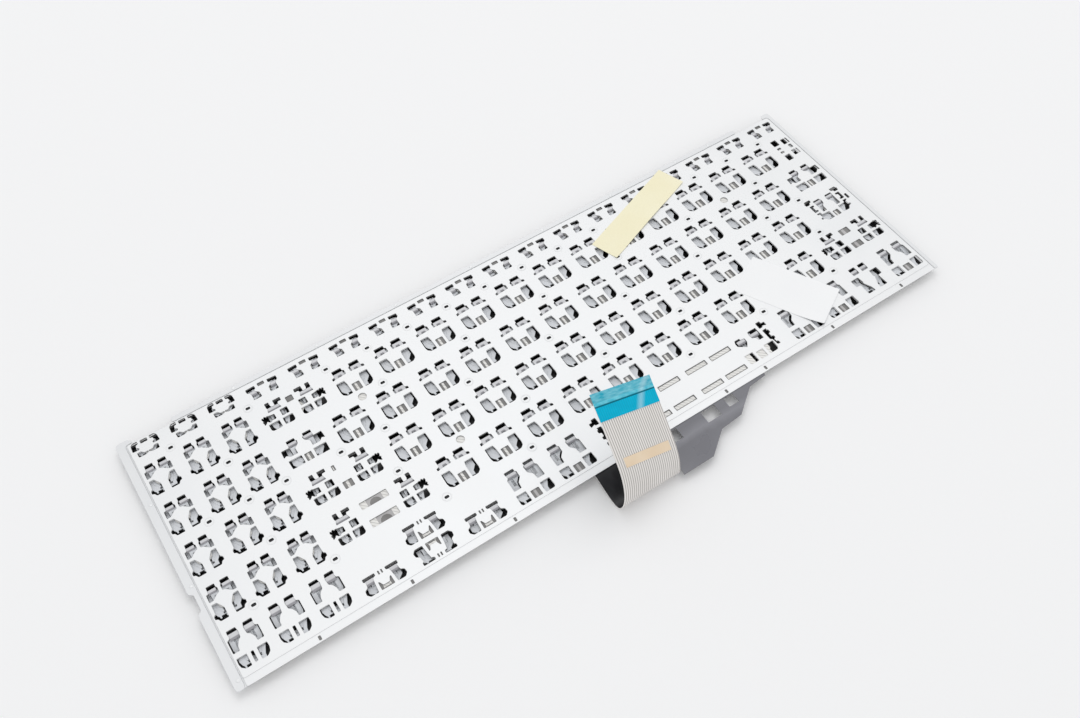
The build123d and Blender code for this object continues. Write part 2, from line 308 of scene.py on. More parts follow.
BOTTOM_HOOK = [
    (2.1, 6.9), (2.1, 5.6), (1.5, 5.3), (1.6, 2.7), (3.3, 0.9), (3.6, -1.6), (6.7, -1.6), (6.6, 3.6),
    (5.9, 4.2), (5.9, 5.4), (6.1, 5.6), (6.1, 6.9),
]
BOTTOM_WINDOW = [(3.1, -3.5), (3.1, -8.0), (6.9, -8.0), (7.4, -7.3), (7.3, -3.5)]
PAD_BOTTOM_HOOK = [
    (1.4, 7.6), (1.0, 5.8), (1.2, 3.4), (2.3, 2.5), (3.2, 0.8), (3.3, -0.9), (5.7, -0.9), (5.7, 4.2),
    (4.7, 4.6), (4.5, 5.8), (4.7, 6.2), (4.7, 7.6),
]
PAD_BOTTOM_WINDOW = [(1.9, -3.0), (1.9, -7.7), (4.0, -7.7), (5.3, -6.6), (5.7, -5.0), (5.6, -3.0)]
ARROW_SIDE = [
    (2.1, 3.8), (2.1, 2.7), (3.2, 2.4), (3.6, 0.0), (3.9, -3.4), (6.9, -3.4), (8.0, -2.2), (7.8, -0.6),
    (6.5, 0.1), (6.2, 2.2), (6.9, 2.6), (6.9, 3.8),
]
ARROW_FOOT = [
    (-2.5, -0.1), (-2.6, -3.4), (2.6, -3.4), (2.5, -0.1), (2.0, -0.3),
    (1.3, -1.9), (-1.3, -1.9), (-2.0, -0.3),
]
ARROW_SLIT = rect(0.35, 0.9, 2.3, 3.8)
FN_HOOK = [(0.9, 7.2), (0.8, 5.5), (0.9, 3.5), (4.0, 3.5), (4.1, 5.6), (4.1, 7.2)]
FN_LEG = [
    (3.2, 2.1), (2.9, -0.8), (3.3, -1.5), (1.7, -4.6), (1.4, -6.8), (5.2, -6.8),
    (5.0, -1.6), (7.1, -1.4), (7.1, 2.1),
]
SINGLE_HOOK = [
    (1.7, 7.0), (1.7, 5.8), (1.1, 5.5), (1.4, 4.1), (3.2, 2.6), (3.1, 0.2), (6.1, 0.2), (7.4, 1.4),
    (8.6, 0.8), (8.4, 4.1), (5.1, 4.0), (5.1, 7.0),
]
SINGLE_WINDOW = [(2.5, -1.2), (2.5, -5.1), (7.7, -5.1), (7.8, -1.2)]
CAPS_HOOK = [
    (1.8, 6.5), (1.2, 5.0), (1.4, 3.6), (2.8, 2.2), (2.9, -0.5), (5.0, -0.5),
    (5.0, 5.0), (5.1, 5.2), (5.1, 6.5),
]
CAPS_WINDOW = [
    (2.6, -1.5), (2.6, -5.4), (6.0, -5.4), (7.2, -3.9), (8.5, -3.8), (8.5, -3.0), (7.5, -2.8), (7.5, -1.0),
    (8.5, -0.8), (8.5, 0.0), (6.5, 0.0), (6.4, -1.3),
]
CAPS_BRACKET = [
    (6.3, 4.8), (6.3, 4.0), (7.3, 3.8), (7.3, 1.8), (6.3, 1.6), (6.4, 0.8), (8.5, 0.8), (8.5, 4.8),
]
CAPS_STAR = [
    (5.8, 8.1), (5.9, 6.8), (7.0, 6.6), (7.2, 5.7), (9.3, 5.7), (9.5, 7.2), (8.9, 7.3), (9.0, 8.1),
]
# One hook station of a long key, from the middle of its tongue outwards
STATION_HOOK = [
    (-2.8, 3.2), (2.9, 3.2), (2.3, 5.1), (2.6, 5.4), (2.6, 7.7), (0.9, 7.7), (0.9, 6.0), (0.6, 5.1),
    (-0.8, 5.1), (-0.8, 7.6), (-3.9, 7.6), (-3.9, 6.0), (-2.4, 6.0), (-2.1, 5.1),
]
STATION_INNER = rect(-4.4, -1.4, -0.8, 2.2)
STATION_STAR = [
    (1.1, 1.7), (1.1, -0.6), (3.0, -0.6), (3.3, -1.3), (4.2, -0.9), (4.8, -0.1), (5.4, -0.9), (6.3, -1.4),
    (6.2, -0.3), (6.6, 0.2), (6.0, 0.7), (6.5, 1.6), (6.1, 2.4), (5.6, 1.9), (5.1, 2.7), (4.5, 2.0),
    (4.0, 2.3), (3.3, 2.0),
]
STATION_FEET = [
    [(-5.0, -1.8), (-5.0, -4.6), (-4.3, -5.2), (-0.8, -5.2), (-0.8, -1.8)],
    [(0.6, -1.8), (0.6, -5.2), (4.4, -5.2), (5.0, -4.6), (5.0, -1.8)],
]
TURNED = [
    (-4.0, -1.0, 3.3, 6.8), (-4.0, -1.0, -6.8, -3.3), (-4.0, -2.1, 0.7, 1.9), (-4.0, -2.1, -1.7, -0.5),
    (0.9, 3.0, 2.2, 5.5), (0.9, 3.0, -5.5, -2.2), (3.4, 4.2, 2.2, 5.5), (3.4, 4.2, -5.5, -2.2),
    (2.0, 3.6, -1.0, 1.2),
]
SPACE_END = [
    [(-6.2, 3.8), (-6.2, 2.4), (-2.9, 0.2), (-1.4, 2.2), (-1.3, 4.2), (-3.2, 4.4), (-3.2, 5.2), (-5.6, 5.2)],
    [(1.2, 4.6), (1.3, 2.4), (2.8, 1.9), (3.0, 0.2), (5.6, 0.2), (5.6, 5.8), (1.6, 5.8)],
    rect(-7.0, -3.0, -7.3, -2.7),
    rect(-1.8, 1.6, -7.4, -3.6),
    [(2.9, -2.8), (2.8, -7.3), (6.6, -7.3), (7.4, -6.4), (7.6, -2.8)],
    [
        (7.0, 7.4), (6.9, 4.3), (8.6, 4.4), (8.8, 5.0), (10.6, 4.4), (10.6, 6.2), (9.2, 6.2), (9.0, 7.4),
    ],
    [
        (7.2, 3.1), (7.2, -2.0), (8.0, -2.4), (8.2, -5.4), (9.6, -5.6), (9.5, -4.2), (8.7, -4.0),
        (8.7, -2.6), (9.6, -2.4), (9.6, -1.2), (8.6, -1.0), (8.6, 0.6),
        (9.6, 0.8), (9.6, 2.2), (8.9, 2.4), (9.2, 3.2),
    ],
]
# The same cut-outs in the film, which reaches further under the windows
SPACE_END_FILM = SPACE_END[:2] + [
    rect(-4.3, -3.0, -7.3, -2.7),
    [(4.9, -2.8), (4.9, -4.6), (4.2, -5.4), (4.2, -7.3), (6.6, -7.3), (7.4, -6.4), (7.6, -2.8)],
] + SPACE_END[5:]
SPACE_SLOTS = ((1.8, 11.8), (13.8, 23.8))
# Tongues of the hooks as x and y limits, for one side of the middle line
TONGUES = {
    "main": (1.75, 5.85, 4.95, 3.0), "pad": (1.2, 4.2, 5.6, 4.1), "bottom": (1.9, 5.95, 5.7, 4.0),
    "pad_bottom": (1.15, 4.6, 6.3, 3.9), "function": (2.9, 5.7, 0.8, -0.9), "fn": (0.95, 4.1, 5.8, 4.2),
    "arrow": (3.1, 6.4, 2.6, 0.7), "wide": (1.5, 5.15, 5.8, 4.3), "station": (-2.5, 2.6, 5.2, 3.5),
    "space_end": (1.5, 5.3, 2.7, 0.9),
}
STATIONS = {"backspace": 6.85, "enter": 8.95, "right_shift": 13.4, "left_shift": 9.4}
WIDE_PLACES = {
    "backspace": (-24.7, 0.2), "enter": (-22.5, 0.5), "right_shift": (-17.9, 0.6),
    "left_shift": (213.5, 0.3),
    "backslash": (-29.4, 0.1), "tab": (221.1, -0.2), "caps_lock": (218.6, 0.0),
}


# Every key is name, x, y, width, depth and kind.
ROWS = {
    1: (0.0, ["equals", "minus"] + [str(n) for n in (0, 9, 8, 7, 6, 5, 4, 3, 2, 1)], "backspace", "grave"),
    2: (-0.5, ["right_bracket", "left_bracket"] + list("poiuytrewq"), "backslash", "tab"),
    3: (0.25, ["quote", "semicolon"] + list("lkjhgfdsa"), "enter", "caps_lock"),
    4: (0.75, ["slash", "period", "comma"] + list("mnbvcxz"), "right_shift", "left_shift"),
}


def row_y(row):
    return ROW_1_Y - PITCH * (row - 1)


def between(name, x0, x1, y, kind):
    return (name, (x0 + x1) / 2, y, x1 - x0, CAP, kind)


def all_keys():
    keys = []
    for row, (shift, names, left, right) in ROWS.items():
        y = row_y(row)
        first = GRID_X + shift * PITCH
        last = first + PITCH * (len(names) - 1)
        keys.append(between(left, LEFT_LINE, first - CAP / 2 - KEY_GAP, y, "wide"))
        keys += [(name, first + PITCH * i, y, CAP, CAP, "main") for i, name in enumerate(names)]
        kind = "turned" if right == "grave" else "wide"
        keys.append(between(right, last + CAP / 2 + KEY_GAP, RIGHT_LINE, y, kind))
    y = row_y(5)
    half = (CAP - 1.2) / 2
    off = (CAP - half) / 2
    end = SPACE_X - SPACE_WIDTH / 2 - KEY_GAP
    start = SPACE_X + SPACE_WIDTH / 2 + KEY_GAP
    keys.append(("space", SPACE_X, y, SPACE_WIDTH, CAP, "space"))
    keys.append(("right_control", end - CAP / 2 - PITCH, y, CAP, CAP, "bottom"))
    keys.append(("right_alt", end - CAP / 2, y, CAP, CAP, "bottom"))
    step = (RIGHT_LINE - CONTROL_WIDTH - start) / 3
    for i, (name, kind) in enumerate((("alt", "bottom"), ("system", "bottom"), ("fn", "fn"))):
        keys.append(between(name, start + step * i, start + step * (i + 1) - KEY_GAP, y, kind))
    keys.append(between("control", RIGHT_LINE - CONTROL_WIDTH, RIGHT_LINE, y, "bottom"))
    arrow_x = LEFT_LINE + CAP / 2
    arrow_step = (end - CAP / 2 - PITCH - arrow_x) / 3
    keys.append(("arrow_right", arrow_x, y - off, CAP, half, "arrow"))
    keys.append(("arrow_up", arrow_x + arrow_step, y + off, CAP, half, "arrow"))
    keys.append(("arrow_down", arrow_x + arrow_step, y - off, CAP, half, "arrow"))
    keys.append(("arrow_left", arrow_x + 2 * arrow_step, y - off, CAP, half, "arrow"))
    for i in range(15):
        x = F_FIRST_X + F_PITCH * i
        keys.append((f"function_{i}", x, F_ROW_Y, F_PITCH - KEY_GAP, F_DEPTH, "function"))
    for i in range(3):
        x = PAD_FIRST_X + PAD_PITCH * i
        keys.append((f"pad_top_{i}", x, F_ROW_Y + PAD_SHIFT, PAD_PITCH - KEY_GAP, F_DEPTH, "pad_function"))
        for row in range(1, 6):
            kind = "pad_bottom" if row == 5 else "pad"
            keys.append((f"pad_{row}_{i}", x, row_y(row) + PAD_SHIFT, PAD_PITCH - KEY_GAP, CAP, kind))
    return keys


KEYS = all_keys()
MOVING = list("qwertyuiopasdfghjklzxcvbnm")
MOVING += ["backspace", "backslash", "tab", "enter", "caps_lock", "right_shift", "left_shift", "space"]
GROUPS = {
    "function_keys": [key[0] for key in KEYS if key[5] in ("function", "pad_function")],
    "pad_keys": [key[0] for key in KEYS if key[5] in ("pad", "pad_bottom")],
    "number_keys": ROWS[1][1] + ["grave"],
    "punctuation_keys": ["right_bracket", "left_bracket", "quote", "semicolon", "slash", "period", "comma"],
    "modifier_keys": ["right_control", "right_alt", "alt", "system", "fn", "control"],
    "arrow_keys": ["arrow_right", "arrow_up", "arrow_down", "arrow_left"],
}
JOINTED = "dfghj"


# Cut-outs over each kind of key: rings that mirror, then openings with film under them
SPACE_OPENINGS = [rect(a, b, c, d) for a, b in SPACE_SLOTS for c, d in ((3.0, 5.4), (-7.4, -5.0))]
KEY_CUTS = {
    "main": ([MAIN_HOOK, MAIN_WINDOW], [rect(-1.6, 1.7, -6.6, -2.7)]),
    "pad": ([PAD_HOOK, PAD_WINDOW], []),
    "function": ([FUNCTION_HOOK], [rect(-1.4, 1.4, 1.7, 3.2)]),
    "pad_function": ([PAD_F_HOOK, PAD_F_FOOT], [rect(-1.4, 1.4, 2.0, 3.5)]),
    "bottom": ([BOTTOM_HOOK, BOTTOM_WINDOW], [rect(-1.8, 1.8, -8.0, -4.6)]),
    "pad_bottom": ([PAD_BOTTOM_HOOK, PAD_BOTTOM_WINDOW], [rect(-0.5, 0.5, -7.4, -3.2)]),
    "arrow": ([ARROW_SIDE], both_sides([ARROW_SLIT]) + [ARROW_FOOT]),
    "fn": ([FN_HOOK, FN_LEG], []),
    "space": (moved(SPACE_END, SPACE_END_X, SPACE_END_RISE), both_sides(SPACE_OPENINGS)),
    "caps_lock": ([CAPS_HOOK, CAPS_WINDOW, CAPS_BRACKET, CAPS_STAR], [rect(-1.6, 1.2, -5.5, -2.5)]),
    "wide": ([SINGLE_HOOK, SINGLE_WINDOW], [rect(-1.6, 1.3, -5.1, -1.6)]),
}
CAPS_SLOT = rect(9.4, 10.6, -0.5, 2.3)
STATION_OPENINGS = {
    "backspace": [rect(-1.4, 1.5, 3.4, 6.1)],
    "enter": [rect(-2.5, -1.3, 4.5, 6.9), rect(-2.0, 1.8, -4.8, -1.5)],
    "right_shift": [rect(-5.6, 5.6, 3.3, 6.4), rect(-5.6, 5.6, -5.0, -1.7)],
    "left_shift": [rect(-2.5, 2.5, 3.3, 6.4), rect(-2.5, 2.5, -5.1, -1.9)],
}


def key_cuts(key):
    """The plate's cut-outs over a key: those cut through the film too, and those with film under them."""
    name, x, y, width, depth, kind = key
    if name == "control":
        y += CONTROL_RISE
    if kind == "turned":
        return moved([rect(*box) for box in TURNED], x, y), []
    if kind == "wide":
        x, rise = WIDE_PLACES[name]
        y += rise
    if name in STATIONS:
        station = [STATION_HOOK, STATION_INNER, STATION_STAR] + STATION_FEET
        sides = both_sides(moved(station, STATIONS[name], 0))
        middle = STATION_OPENINGS[name]
    else:
        half, middle = KEY_CUTS["caps_lock" if name == "caps_lock" else kind]
        sides = both_sides(half)
    if name == "caps_lock":
        sides = sides + [CAPS_SLOT]
    if name == "arrow_down":
        sides = flipped(sides)
        middle = flipped(middle)
    return moved(sides, x, y), moved(middle, x, y)


def window_limits():
    """Limits of the windows over the link ends, which lie in the front half of each key."""
    windows = []
    for key in KEYS:
        sides, middle = key_cuts(key)
        front = key[2] + FRONT_HALF
        windows += [grown(ring, WALL_ROOM) for ring in sides if max(y for x, y in ring) < front]
    return windows


WINDOWS = window_limits()


# Node groups that several finishes share
def new_group(name, inputs, outputs):
    group = bpy.data.node_groups.new(name, "ShaderNodeTree")
    for label, kind, value in inputs:
        socket = group.interface.new_socket(label, in_out="INPUT", socket_type=kind)
        if value is not None:
            socket.default_value = value
    for label, kind in outputs:
        group.interface.new_socket(label, in_out="OUTPUT", socket_type=kind)
    return group, group.nodes.new("NodeGroupInput"), group.nodes.new("NodeGroupOutput")


def mottle_group():
    """Soft cloudy change between two colours, with the mask for roughness."""
    inputs = [
        ("Vector", "NodeSocketVector", None),
        ("Scale", "NodeSocketFloat", 60.0),
        ("Low", "NodeSocketColor", (0.5, 0.5, 0.5, 1)),
        ("High", "NodeSocketColor", (0.8, 0.8, 0.8, 1)),
    ]
    outputs = [("Color", "NodeSocketColor"), ("Mask", "NodeSocketFloat")]
    group, given, out = new_group("cloudy_mottle", inputs, outputs)
    noise = group.nodes.new("ShaderNodeTexNoise")
    noise.inputs["Detail"].default_value = 5.0
    ramp = group.nodes.new("ShaderNodeMapRange")
    ramp.inputs["From Min"].default_value = 0.3
    ramp.inputs["From Max"].default_value = 0.7
    mix = group.nodes.new("ShaderNodeMix")
    mix.data_type = "RGBA"
    link = group.links.new
    link(given.outputs["Vector"], noise.inputs["Vector"])
    link(given.outputs["Scale"], noise.inputs["Scale"])
    link(noise.outputs["Fac"], ramp.inputs["Value"])
    link(ramp.outputs["Result"], mix.inputs["Factor"])
    link(given.outputs["Low"], mix.inputs["A"])
    link(given.outputs["High"], mix.inputs["B"])
    link(mix.outputs["Result"], out.inputs["Color"])
    link(ramp.outputs["Result"], out.inputs["Mask"])
    return group


def grain_group():
    """Fine moulded or rolled grain as a height, with its own stretch."""
    inputs = [
        ("Vector", "NodeSocketVector", None),
        ("Scale", "NodeSocketFloat", 900.0),
        ("Stretch", "NodeSocketVector", (1.0, 1.0, 1.0)),
    ]
    group, given, out = new_group("fine_grain", inputs, [("Height", "NodeSocketFloat")])
    stretch = group.nodes.new("ShaderNodeVectorMath")
    stretch.operation = "MULTIPLY"
    noise = group.nodes.new("ShaderNodeTexNoise")
    noise.inputs["Detail"].default_value = 3.0
    link = group.links.new
    link(given.outputs["Vector"], stretch.inputs[0])
    link(given.outputs["Stretch"], stretch.inputs[1])
    link(stretch.outputs["Vector"], noise.inputs["Vector"])
    link(given.outputs["Scale"], noise.inputs["Scale"])
    link(noise.outputs["Fac"], out.inputs["Height"])
    return group


MOTTLE = mottle_group()
GRAIN = grain_group()


class Finish:
    """A material with its shader, its coordinates and short calls for its nodes."""

    def __init__(self, name, coordinates="Object"):
        self.material = bpy.data.materials.new(name)
        self.material.use_nodes = True
        self.tree = self.material.node_tree
        self.shader = self.tree.nodes["Principled BSDF"]
        self.place = self.node("ShaderNodeTexCoord").outputs[coordinates]

    def node(self, kind, **settings):
        node = self.tree.nodes.new(kind)
        for label, value in settings.items():
            setattr(node, label, value)
        return node

    def link(self, source, target):
        self.tree.links.new(source, target)

    def group(self, group, **values):
        node = self.node("ShaderNodeGroup", node_tree=group)
        self.link(self.place, node.inputs["Vector"])
        for label, value in values.items():
            node.inputs[label].default_value = value
        return node

    def math(self, operation, first, second=0.0, third=None):
        node = self.node("ShaderNodeMath", operation=operation)
        for socket, value in zip(node.inputs, (first, second, third)):
            if value is None:
                continue
            if hasattr(value, "links"):
                self.link(value, socket)
            else:
                socket.default_value = value
        return node.outputs["Value"]

    def blend(self, factor, first, second):
        node = self.node("ShaderNodeMix", data_type="RGBA")
        for label, value in (("Factor", factor), ("A", first), ("B", second)):
            if hasattr(value, "links"):
                self.link(value, node.inputs[label])
            else:
                node.inputs[label].default_value = value
        return node.outputs["Result"]

    def span(self, value, low, high, to_low=0.0, to_high=1.0):
        node = self.node("ShaderNodeMapRange")
        self.link(value, node.inputs["Value"])
        limits = (("From Min", low), ("From Max", high), ("To Min", to_low), ("To Max", to_high))
        for label, number in limits:
            node.inputs[label].default_value = number
        return node.outputs["Result"]

    def axis(self, label):
        node = self.node("ShaderNodeSeparateXYZ")
        self.link(self.place, node.inputs["Vector"])
        return node.outputs[label]

    def set(self, **values):
        for label, value in values.items():
            socket = self.shader.inputs[label.replace("_", " ")]
            if hasattr(value, "links"):
                self.link(value, socket)
            else:
                socket.default_value = value

    def rough(self, cloud, low, high):
        """Roughness that follows the mask of a cloud."""
        self.set(Roughness=self.span(cloud.outputs["Mask"], 0.0, 1.0, low, high))

    def bump(self, height, strength, distance):
        node = self.node("ShaderNodeBump")
        node.inputs["Strength"].default_value = strength
        node.inputs["Distance"].default_value = distance
        self.link(height, node.inputs["Height"])
        self.link(node.outputs["Normal"], self.shader.inputs["Normal"])


def satin_plate():
    """Satin metal of the sheet, with painted shade on the low rim."""
    f = Finish("satin_plate")
    cloud = f.group(MOTTLE, Scale=35.0, Low=(0.84, 0.85, 0.86, 1), High=(0.90, 0.905, 0.91, 1))
    grain = f.group(GRAIN, Scale=1400.0, Stretch=(0.25, 1.0, 1.0))
    # Painted shade: the low rim and its groove are coloured darker by height, for the shade that falls on
    # them.
    rim = f.span(f.axis("Z"), (RIM_Z[1] + 0.02) * MM, (RIM_Z[1] + 0.1) * MM, 0.5, 0.0)
    f.set(Base_Color=f.blend(rim, cloud.outputs["Color"], (0.72, 0.73, 0.745, 1)), Metallic=0.25)
    f.rough(cloud, 0.38, 0.5)
    f.bump(grain.outputs["Height"], 0.08, 0.0001)
    return f.material


def hook_steel():
    """Metal of the pressed hooks, coloured darker than the plate as painted shade, and darker still at their
    lower ends.
    """
    f = Finish("hook_steel")
    # Painted shade: the hooks are the plate's own metal, coloured darker for the shade in their holes.
    cloud = f.group(MOTTLE, Scale=90.0, Low=(0.63, 0.63, 0.65, 1), High=(0.73, 0.73, 0.75, 1))
    # Painted shade deepens towards the lower ends of the hooks.
    foot_shade = f.span(f.axis("Z"), (PLATE_TOP - 0.42) * MM, (PLATE_TOP - 0.3) * MM, 1.0, 0.0)
    f.set(Base_Color=f.blend(foot_shade, cloud.outputs["Color"], (0.35, 0.345, 0.37, 1)))
    f.rough(cloud, 0.4, 0.55)
    return f.material


def printed_film():
    """Pale film with silver traces under the plate, dark grey film on the flap past the front edge, with a
    band and patches of painted sheen on the flap.
    """
    f = Finish("printed_film")
    cloud = f.group(MOTTLE, Scale=90.0, Low=(0.80, 0.79, 0.76, 1), High=(0.89, 0.88, 0.85, 1))
    waves = f.node("ShaderNodeTexWave", wave_type="BANDS", bands_direction="DIAGONAL")
    f.link(f.place, waves.inputs["Vector"])
    waves.inputs["Scale"].default_value = 380.0
    waves.inputs["Distortion"].default_value = 0.8
    waves.inputs["Detail"].default_value = 1.0
    waves.inputs["Detail Scale"].default_value = 0.6
    trace = f.span(waves.outputs["Fac"], 0.80, 0.92)
    pale = f.blend(f.math("MULTIPLY", trace, 0.6), cloud.outputs["Color"], (0.40, 0.39, 0.38, 1))
    # Dark grey of the flap; its lighter cloudy patches are partly painted sheen.
    dark = f.group(MOTTLE, Scale=30.0, Low=(0.125, 0.125, 0.145, 1), High=(0.205, 0.205, 0.225, 1))
    on_flap = f.span(f.axis("Y"), FLAP_LINE * MM, (FLAP_LINE - 0.2) * MM)
    # Painted sheen: a lighter band across the flap, its line wavered by the cloud.
    drift = f.math("MULTIPLY_ADD", dark.outputs["Mask"], 0.008, f.axis("Y"))
    away = f.math("ABSOLUTE", f.math("SUBTRACT", drift, (FLAP_LINE - FLAP_SHEEN_BAND) * MM))
    bend = f.span(away, 0.0, 0.0035, 0.55, 0.0)
    flap = f.blend(bend, dark.outputs["Color"], (0.27, 0.27, 0.30, 1))
    f.set(Base_Color=f.blend(on_flap, pale, flap))
    f.rough(dark, 0.24, 0.4)
    f.bump(trace, 0.1, 0.0001)
    return f.material


def striped_ribbon():
    f = Finish("striped_ribbon", "UV")
    stripes = f.math("SINE", f.math("MULTIPLY", f.axis("X"), RIBBON_LINES * 2 * math.pi))
    line = f.span(stripes, -0.95, -0.1)
    cloud = f.group(MOTTLE, Scale=3.0, Low=(0.82, 0.79, 0.76, 1), High=(0.89, 0.86, 0.83, 1))
    f.set(Base_Color=f.blend(line, (0.40, 0.37, 0.345, 1), cloud.outputs["Color"]))
    f.set(Roughness=f.span(line, 0.0, 1.0, 0.5, 0.36))
    f.bump(line, 0.35, 0.0001)
    return f.material


def dark_ribbon():
    f = Finish("dark_ribbon", "UV")
    cloud = f.group(MOTTLE, Scale=6.0, Low=(0.012, 0.012, 0.014, 1), High=(0.028, 0.028, 0.032, 1))
    f.set(Base_Color=cloud.outputs["Color"])
    f.rough(cloud, 0.35, 0.5)
    return f.material


def blue_stiffener():
    """Clear blue film: a dark line at the contact end, paler film past it, and a painted highlight streak
    across it.
    """
    f = Finish("blue_stiffener", "UV")
    cloud = f.group(MOTTLE, Scale=4.0, Low=(0.0, 0.45, 0.68, 1), High=(0.0, 0.52, 0.76, 1))
    along = f.axis("Y")
    lines = f.math("SINE", f.math("MULTIPLY", f.axis("X"), RIBBON_LINES * 2 * math.pi))
    film = f.blend(f.span(lines, -0.9, -0.1, 0.35, 0.0), cloud.outputs["Color"], (0.0, 0.30, 0.46, 1))
    past = f.span(along, 0.40, 0.42)
    near = f.math("ABSOLUTE", f.math("SUBTRACT", along, 0.40))
    edge = f.span(near, 0.012, 0.03, 1.0, 0.0)
    haze = f.group(MOTTLE, Scale=9.0, Low=(0.02, 0.46, 0.63, 1), High=(0.22, 0.70, 0.82, 1))
    # Painted highlight: a pale slanting streak across the blue film.
    highlight_slant = f.math("MULTIPLY_ADD", along, -0.28, f.axis("X"))
    painted_highlight = f.span(f.math("ABSOLUTE", f.math("SUBTRACT", highlight_slant, 0.66)), 0.01, 0.08, 0.4, 0.0)
    colour = f.blend(painted_highlight, f.blend(past, film, haze.outputs["Color"]), (0.62, 0.86, 0.93, 1))
    f.set(Base_Color=f.blend(edge, colour, (0.0, 0.15, 0.22, 1)), Specular_IOR_Level=0.1)
    f.rough(cloud, 0.16, 0.26)
    f.set(Alpha=f.span(along, 0.5, 0.52, 1.0, 0.78))
    return f.material


def paper(name, low, high, scale):
    f = Finish(name)
    cloud = f.group(MOTTLE, Scale=scale, Low=low, High=high)
    grain = f.group(GRAIN, Scale=2500.0)
    f.set(Base_Color=cloud.outputs["Color"])
    f.rough(cloud, 0.6, 0.75)
    f.bump(grain.outputs["Height"], 0.15, 0.0001)
    return f.material


def moulded(name, low, high, rough_low, rough_high, grain_scale, strength):
    f = Finish(name)
    cloud = f.group(MOTTLE, Scale=120.0, Low=low, High=high)
    grain = f.group(GRAIN, Scale=grain_scale)
    f.set(Base_Color=cloud.outputs["Color"])
    f.rough(cloud, rough_low, rough_high)
    f.bump(grain.outputs["Height"], strength, 0.0001)
    return f.material


def wire_steel():
    f = Finish("wire_steel")
    cloud = f.group(MOTTLE, Scale=200.0, Low=(0.50, 0.50, 0.52, 1), High=(0.62, 0.62, 0.64, 1))
    f.set(Base_Color=cloud.outputs["Color"], Metallic=1.0)
    f.rough(cloud, 0.25, 0.4)
    return f.material


PLATE_FINISH = satin_plate()
FILM_FINISH = printed_film()
RIBBON_FINISH = striped_ribbon()
RIBBON_BACK = dark_ribbon()
BLUE_FINISH = blue_stiffener()
TAN_PAPER = paper("tan_sticker", (0.85, 0.67, 0.47, 1), (0.91, 0.75, 0.56, 1), 120.0)
YELLOW_PAPER = paper("yellow_note_paper", (0.95, 0.89, 0.63, 1), (0.975, 0.93, 0.70, 1), 60.0)
WHITE_PAPER = paper("white_label_paper", (0.95, 0.955, 0.965, 1), (0.975, 0.98, 0.985, 1), 60.0)
# Dark painted shade for the film: marks under the plate's openings and the film's cut walls.
SHADE_INK_FINISH = moulded("shade_ink", (0.17, 0.165, 0.16, 1), (0.27, 0.265, 0.26, 1), 0.35, 0.5, 1600.0, 0.05)
SILVER_FINISH = moulded("silver_ink", (0.43, 0.42, 0.42, 1), (0.53, 0.52, 0.52, 1), 0.35, 0.5, 1600.0, 0.05)
# Painted shade: dark colour for the upright cut walls of the plate, its front strip and the hook tongues.
EDGE_SHADE_FINISH = moulded("cut_edge_shade", (0.24, 0.24, 0.25, 1), (0.34, 0.34, 0.35, 1), 0.45, 0.6, 1500.0, 0.05)
# Lighter painted shade for the walls round the windows over the link ends, in the plate and the film.
WINDOW_WALL_SHADE = moulded("window_wall_shade", (0.74, 0.74, 0.75, 1), (0.82, 0.82, 0.83, 1), 0.45, 0.6, 1500.0, 0.05)
# Painted shade: near-black walls of the grey links.
LINK_WALL_SHADE = moulded("link_wall_shade", (0.10, 0.105, 0.11, 1), (0.16, 0.165, 0.17, 1), 0.45, 0.6, 1800.0, 0.05)
HOOK_SHADE_FINISH = hook_steel()
LEGEND_FINISH = moulded("white_legend", (0.70, 0.70, 0.70, 1), (0.78, 0.78, 0.78, 1), 0.5, 0.6, 1500.0, 0.03)
# Black of the keycaps, also used as black painted shade in the ring slits.
BLACK_CAP_AND_SHADE = moulded("black_cap_and_slit_shade", (0.008, 0.008, 0.009, 1), (0.016, 0.016, 0.018, 1), 0.42, 0.55, 2500, 0.2)
LINK_FINISH = moulded("grey_link", (0.66, 0.68, 0.71, 1), (0.74, 0.76, 0.79, 1), 0.4, 0.5, 1800.0, 0.08)
RUBBER_FINISH = moulded("pale_rubber", (0.62, 0.61, 0.58, 1), (0.70, 0.69, 0.66, 1), 0.5, 0.62, 1500.0, 0.05)
WIRE_FINISH = wire_steel()


# Back plate: the sheet with its cut-outs, the stepped rim and the pressed rings
SCREWS = ((-0.5, -3.6), (21.5, -41.2), (181.5, -2.4))
SCREW_HOLE = 3.4
FRONT_SLOTS = (-58.0, -21.8, 21.0, 119.3, 139.2, 174.8, 213.0)
RINGS = [(-6.7 + 18.57 * i, 15.7) for i in range(13)] + [(-71.8, 16.8), (-40.1, 16.3)]
RINGS += [(9.2 + 38.08 * i, -2.3) for i in range(6)] + [(-56.1, -1.2)]
RINGS += [(x, -20.9) for x in (-18.9, 0.1, 37.5, 75.6, 113.7, 152.0, 190.6, 208.9)]
RINGS += [(-72.0, -19.8), (-56.1, -19.8), (-41.3, -20.3), (-56.3, -38.8)]
RINGS += [(x, -39.8) for x in (-4.8, 52.0, 90.0, 128.0, 166.0, 204.2)]
RINGS += [(x, -59.1) for x in (4.9, 42.3, 80.0, 118.3, 156.3, 194.6)] + [(-71.8, -57.4), (-40.5, -58.0)]


RING_RADIUS = 1.95
BUMP_RADIUS = 0.75
SLIT = rect(-0.92, 0.92, -0.56, 0.56)
SLIT_CORNER = 0.45
# Room round each slit for the black painted shade on the film under it.
SLIT_SHADE_ROOM = 0.3


def ring_slits(room):
    """The small slits inside the pressed rings, each with some room round it."""
    slit = rect(*grown(SLIT, room))
    return [soft_corners(ring, SLIT_CORNER) for x, y in RINGS for ring in moved([slit], x, y)]


